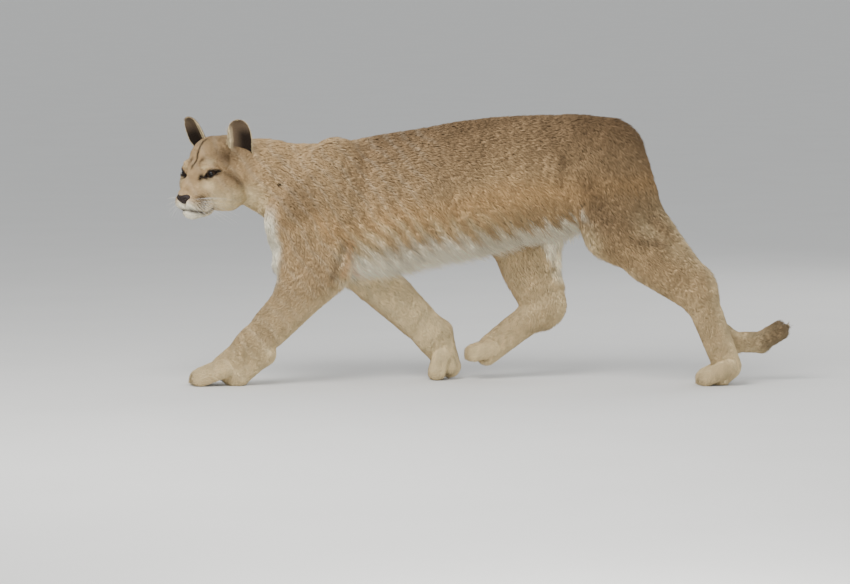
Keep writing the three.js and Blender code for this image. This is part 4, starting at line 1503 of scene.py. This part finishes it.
def whisker_piece():
    """A tube carried along a drooping line: point(s) = start + way s + fall s squared."""
    start, way, length = whisker_lines()
    start = np.concatenate([start, start * (1, -1, 1)])
    way = np.concatenate([way, way * (1, -1, 1)])
    length = np.concatenate([length, length])
    s = np.linspace(0, 1, WHISKER_STATIONS)
    line = start[:, None] + way[:, None] * (s[:, None] * length[:, None, None])
    line += (s**2 * (length[:, None] / LONG_WHISKER))[..., None] * WHISKER_FALL
    radius = 0.3 * (1 - 0.8 * s)
    side = unit_rows(np.cross(way, (0, 0, 1.0)))
    over = np.cross(way, side)
    turn = (np.arange(WHISKER_SIDES) * 2 * math.pi / WHISKER_SIDES)[:, None]
    ring = side[:, None, None] * np.cos(turn) + over[:, None, None] * np.sin(turn)
    tube = line[:, :, None] + ring * radius[:, None, None]
    tube = np.concatenate([tube.reshape(len(start), -1, 3), line[:, :1], line[:, -1:]], 1)
    placed = head_point(tube)
    first = np.arange(len(start)) * tube.shape[1]
    shape = ball_faces(WHISKER_STATIONS, WHISKER_SIDES)[None] + first[:, None, None]
    made = Finish("whisker", 0.35)
    made.set(Base_Color=made.mixed(made.noise(200.0), (0.8, 0.77, 0.7, 1), (0.62, 0.57, 0.5, 1)))
    piece("whiskers", placed.reshape(-1, 3), shape.reshape(-1, 3), made.material, "coat_pale")


whisker_piece()
print(2 * WHISKER_ROWS * WHISKERS_IN_ROW, "whiskers")

# %% [markdown]
# ## Floor, light and camera
# The floor is plain and pale. A broad soft light from above and a little behind the camera
# stands for an overcast sky, with a fill from the far side and a low lamp in front that
# reaches the belly. The camera is about twelve metres off with a long lens, as a wildlife
# photographer's is, and five degrees up.

# %% Studio
CAMERA_DISTANCE, CAMERA_ELEVATION, CAMERA_LENS = 12.0, math.radians(5.0), 190.6
TARGET = np.array([0.0, 0.0, 0.2409]) + SHIFT
# Each lamp's name, place, size and power.
LAMPS = (
    ("sky", (-1.1, -2.2, 2.8), 2.0, 150), ("fill", (2.0, 2.4, 2.2), 2.5, 40),
    ("low", (0.3, -4.6, 0.9), 1.5, 90),
)


def direction(aim):
    """Euler angles that turn -Z to aim, with Y up."""
    flat = math.hypot(aim[0], aim[1])
    return (math.atan2(flat, -aim[2]), 0, math.atan2(aim[1], aim[0]) - math.pi / 2)


def lay_floor():
    bpy.ops.mesh.primitive_plane_add(size=400, location=(0, 0, 0))
    floor = bpy.context.object
    floor.name = "floor"
    pale = Finish("floor", 0.9)
    tones = (0.62, 0.61, 0.58, 1), (0.66, 0.65, 0.62, 1)
    pale.set(Base_Color=pale.mixed(pale.noise(3.0), *tones))
    floor.data.materials.append(pale.material)


def lights():
    world = bpy.data.worlds.new("studio")
    world.use_nodes = True
    sky = world.node_tree.nodes["Background"].inputs
    sky["Color"].default_value, sky["Strength"].default_value = (0.93, 0.96, 1.0, 1), 0.8
    bpy.context.scene.world = world
    for name, place, size, power in LAMPS:
        lamp = bpy.data.lights.new(name, "AREA")
        lamp.size, lamp.energy = size, power
        held = bpy.data.objects.new(name, lamp)
        held.location = place
        held.rotation_euler = direction(np.array([0, 0, 0.4]) - place)
        bpy.context.scene.collection.objects.link(held)


def camera():
    lens = bpy.data.cameras.new("camera")
    lens.lens, lens.sensor_width = CAMERA_LENS, 36
    lens.clip_end = 100
    held = bpy.data.objects.new("camera", lens)
    back = np.array([0, -math.cos(CAMERA_ELEVATION), math.sin(CAMERA_ELEVATION)])
    held.location = TARGET + CAMERA_DISTANCE * back
    held.rotation_euler = (math.pi / 2 - CAMERA_ELEVATION, 0, 0)
    bpy.context.scene.collection.objects.link(held)
    bpy.context.scene.camera = held


lay_floor()
lights()
camera()
print("camera", [round(v, 3) for v in bpy.context.scene.camera.location])
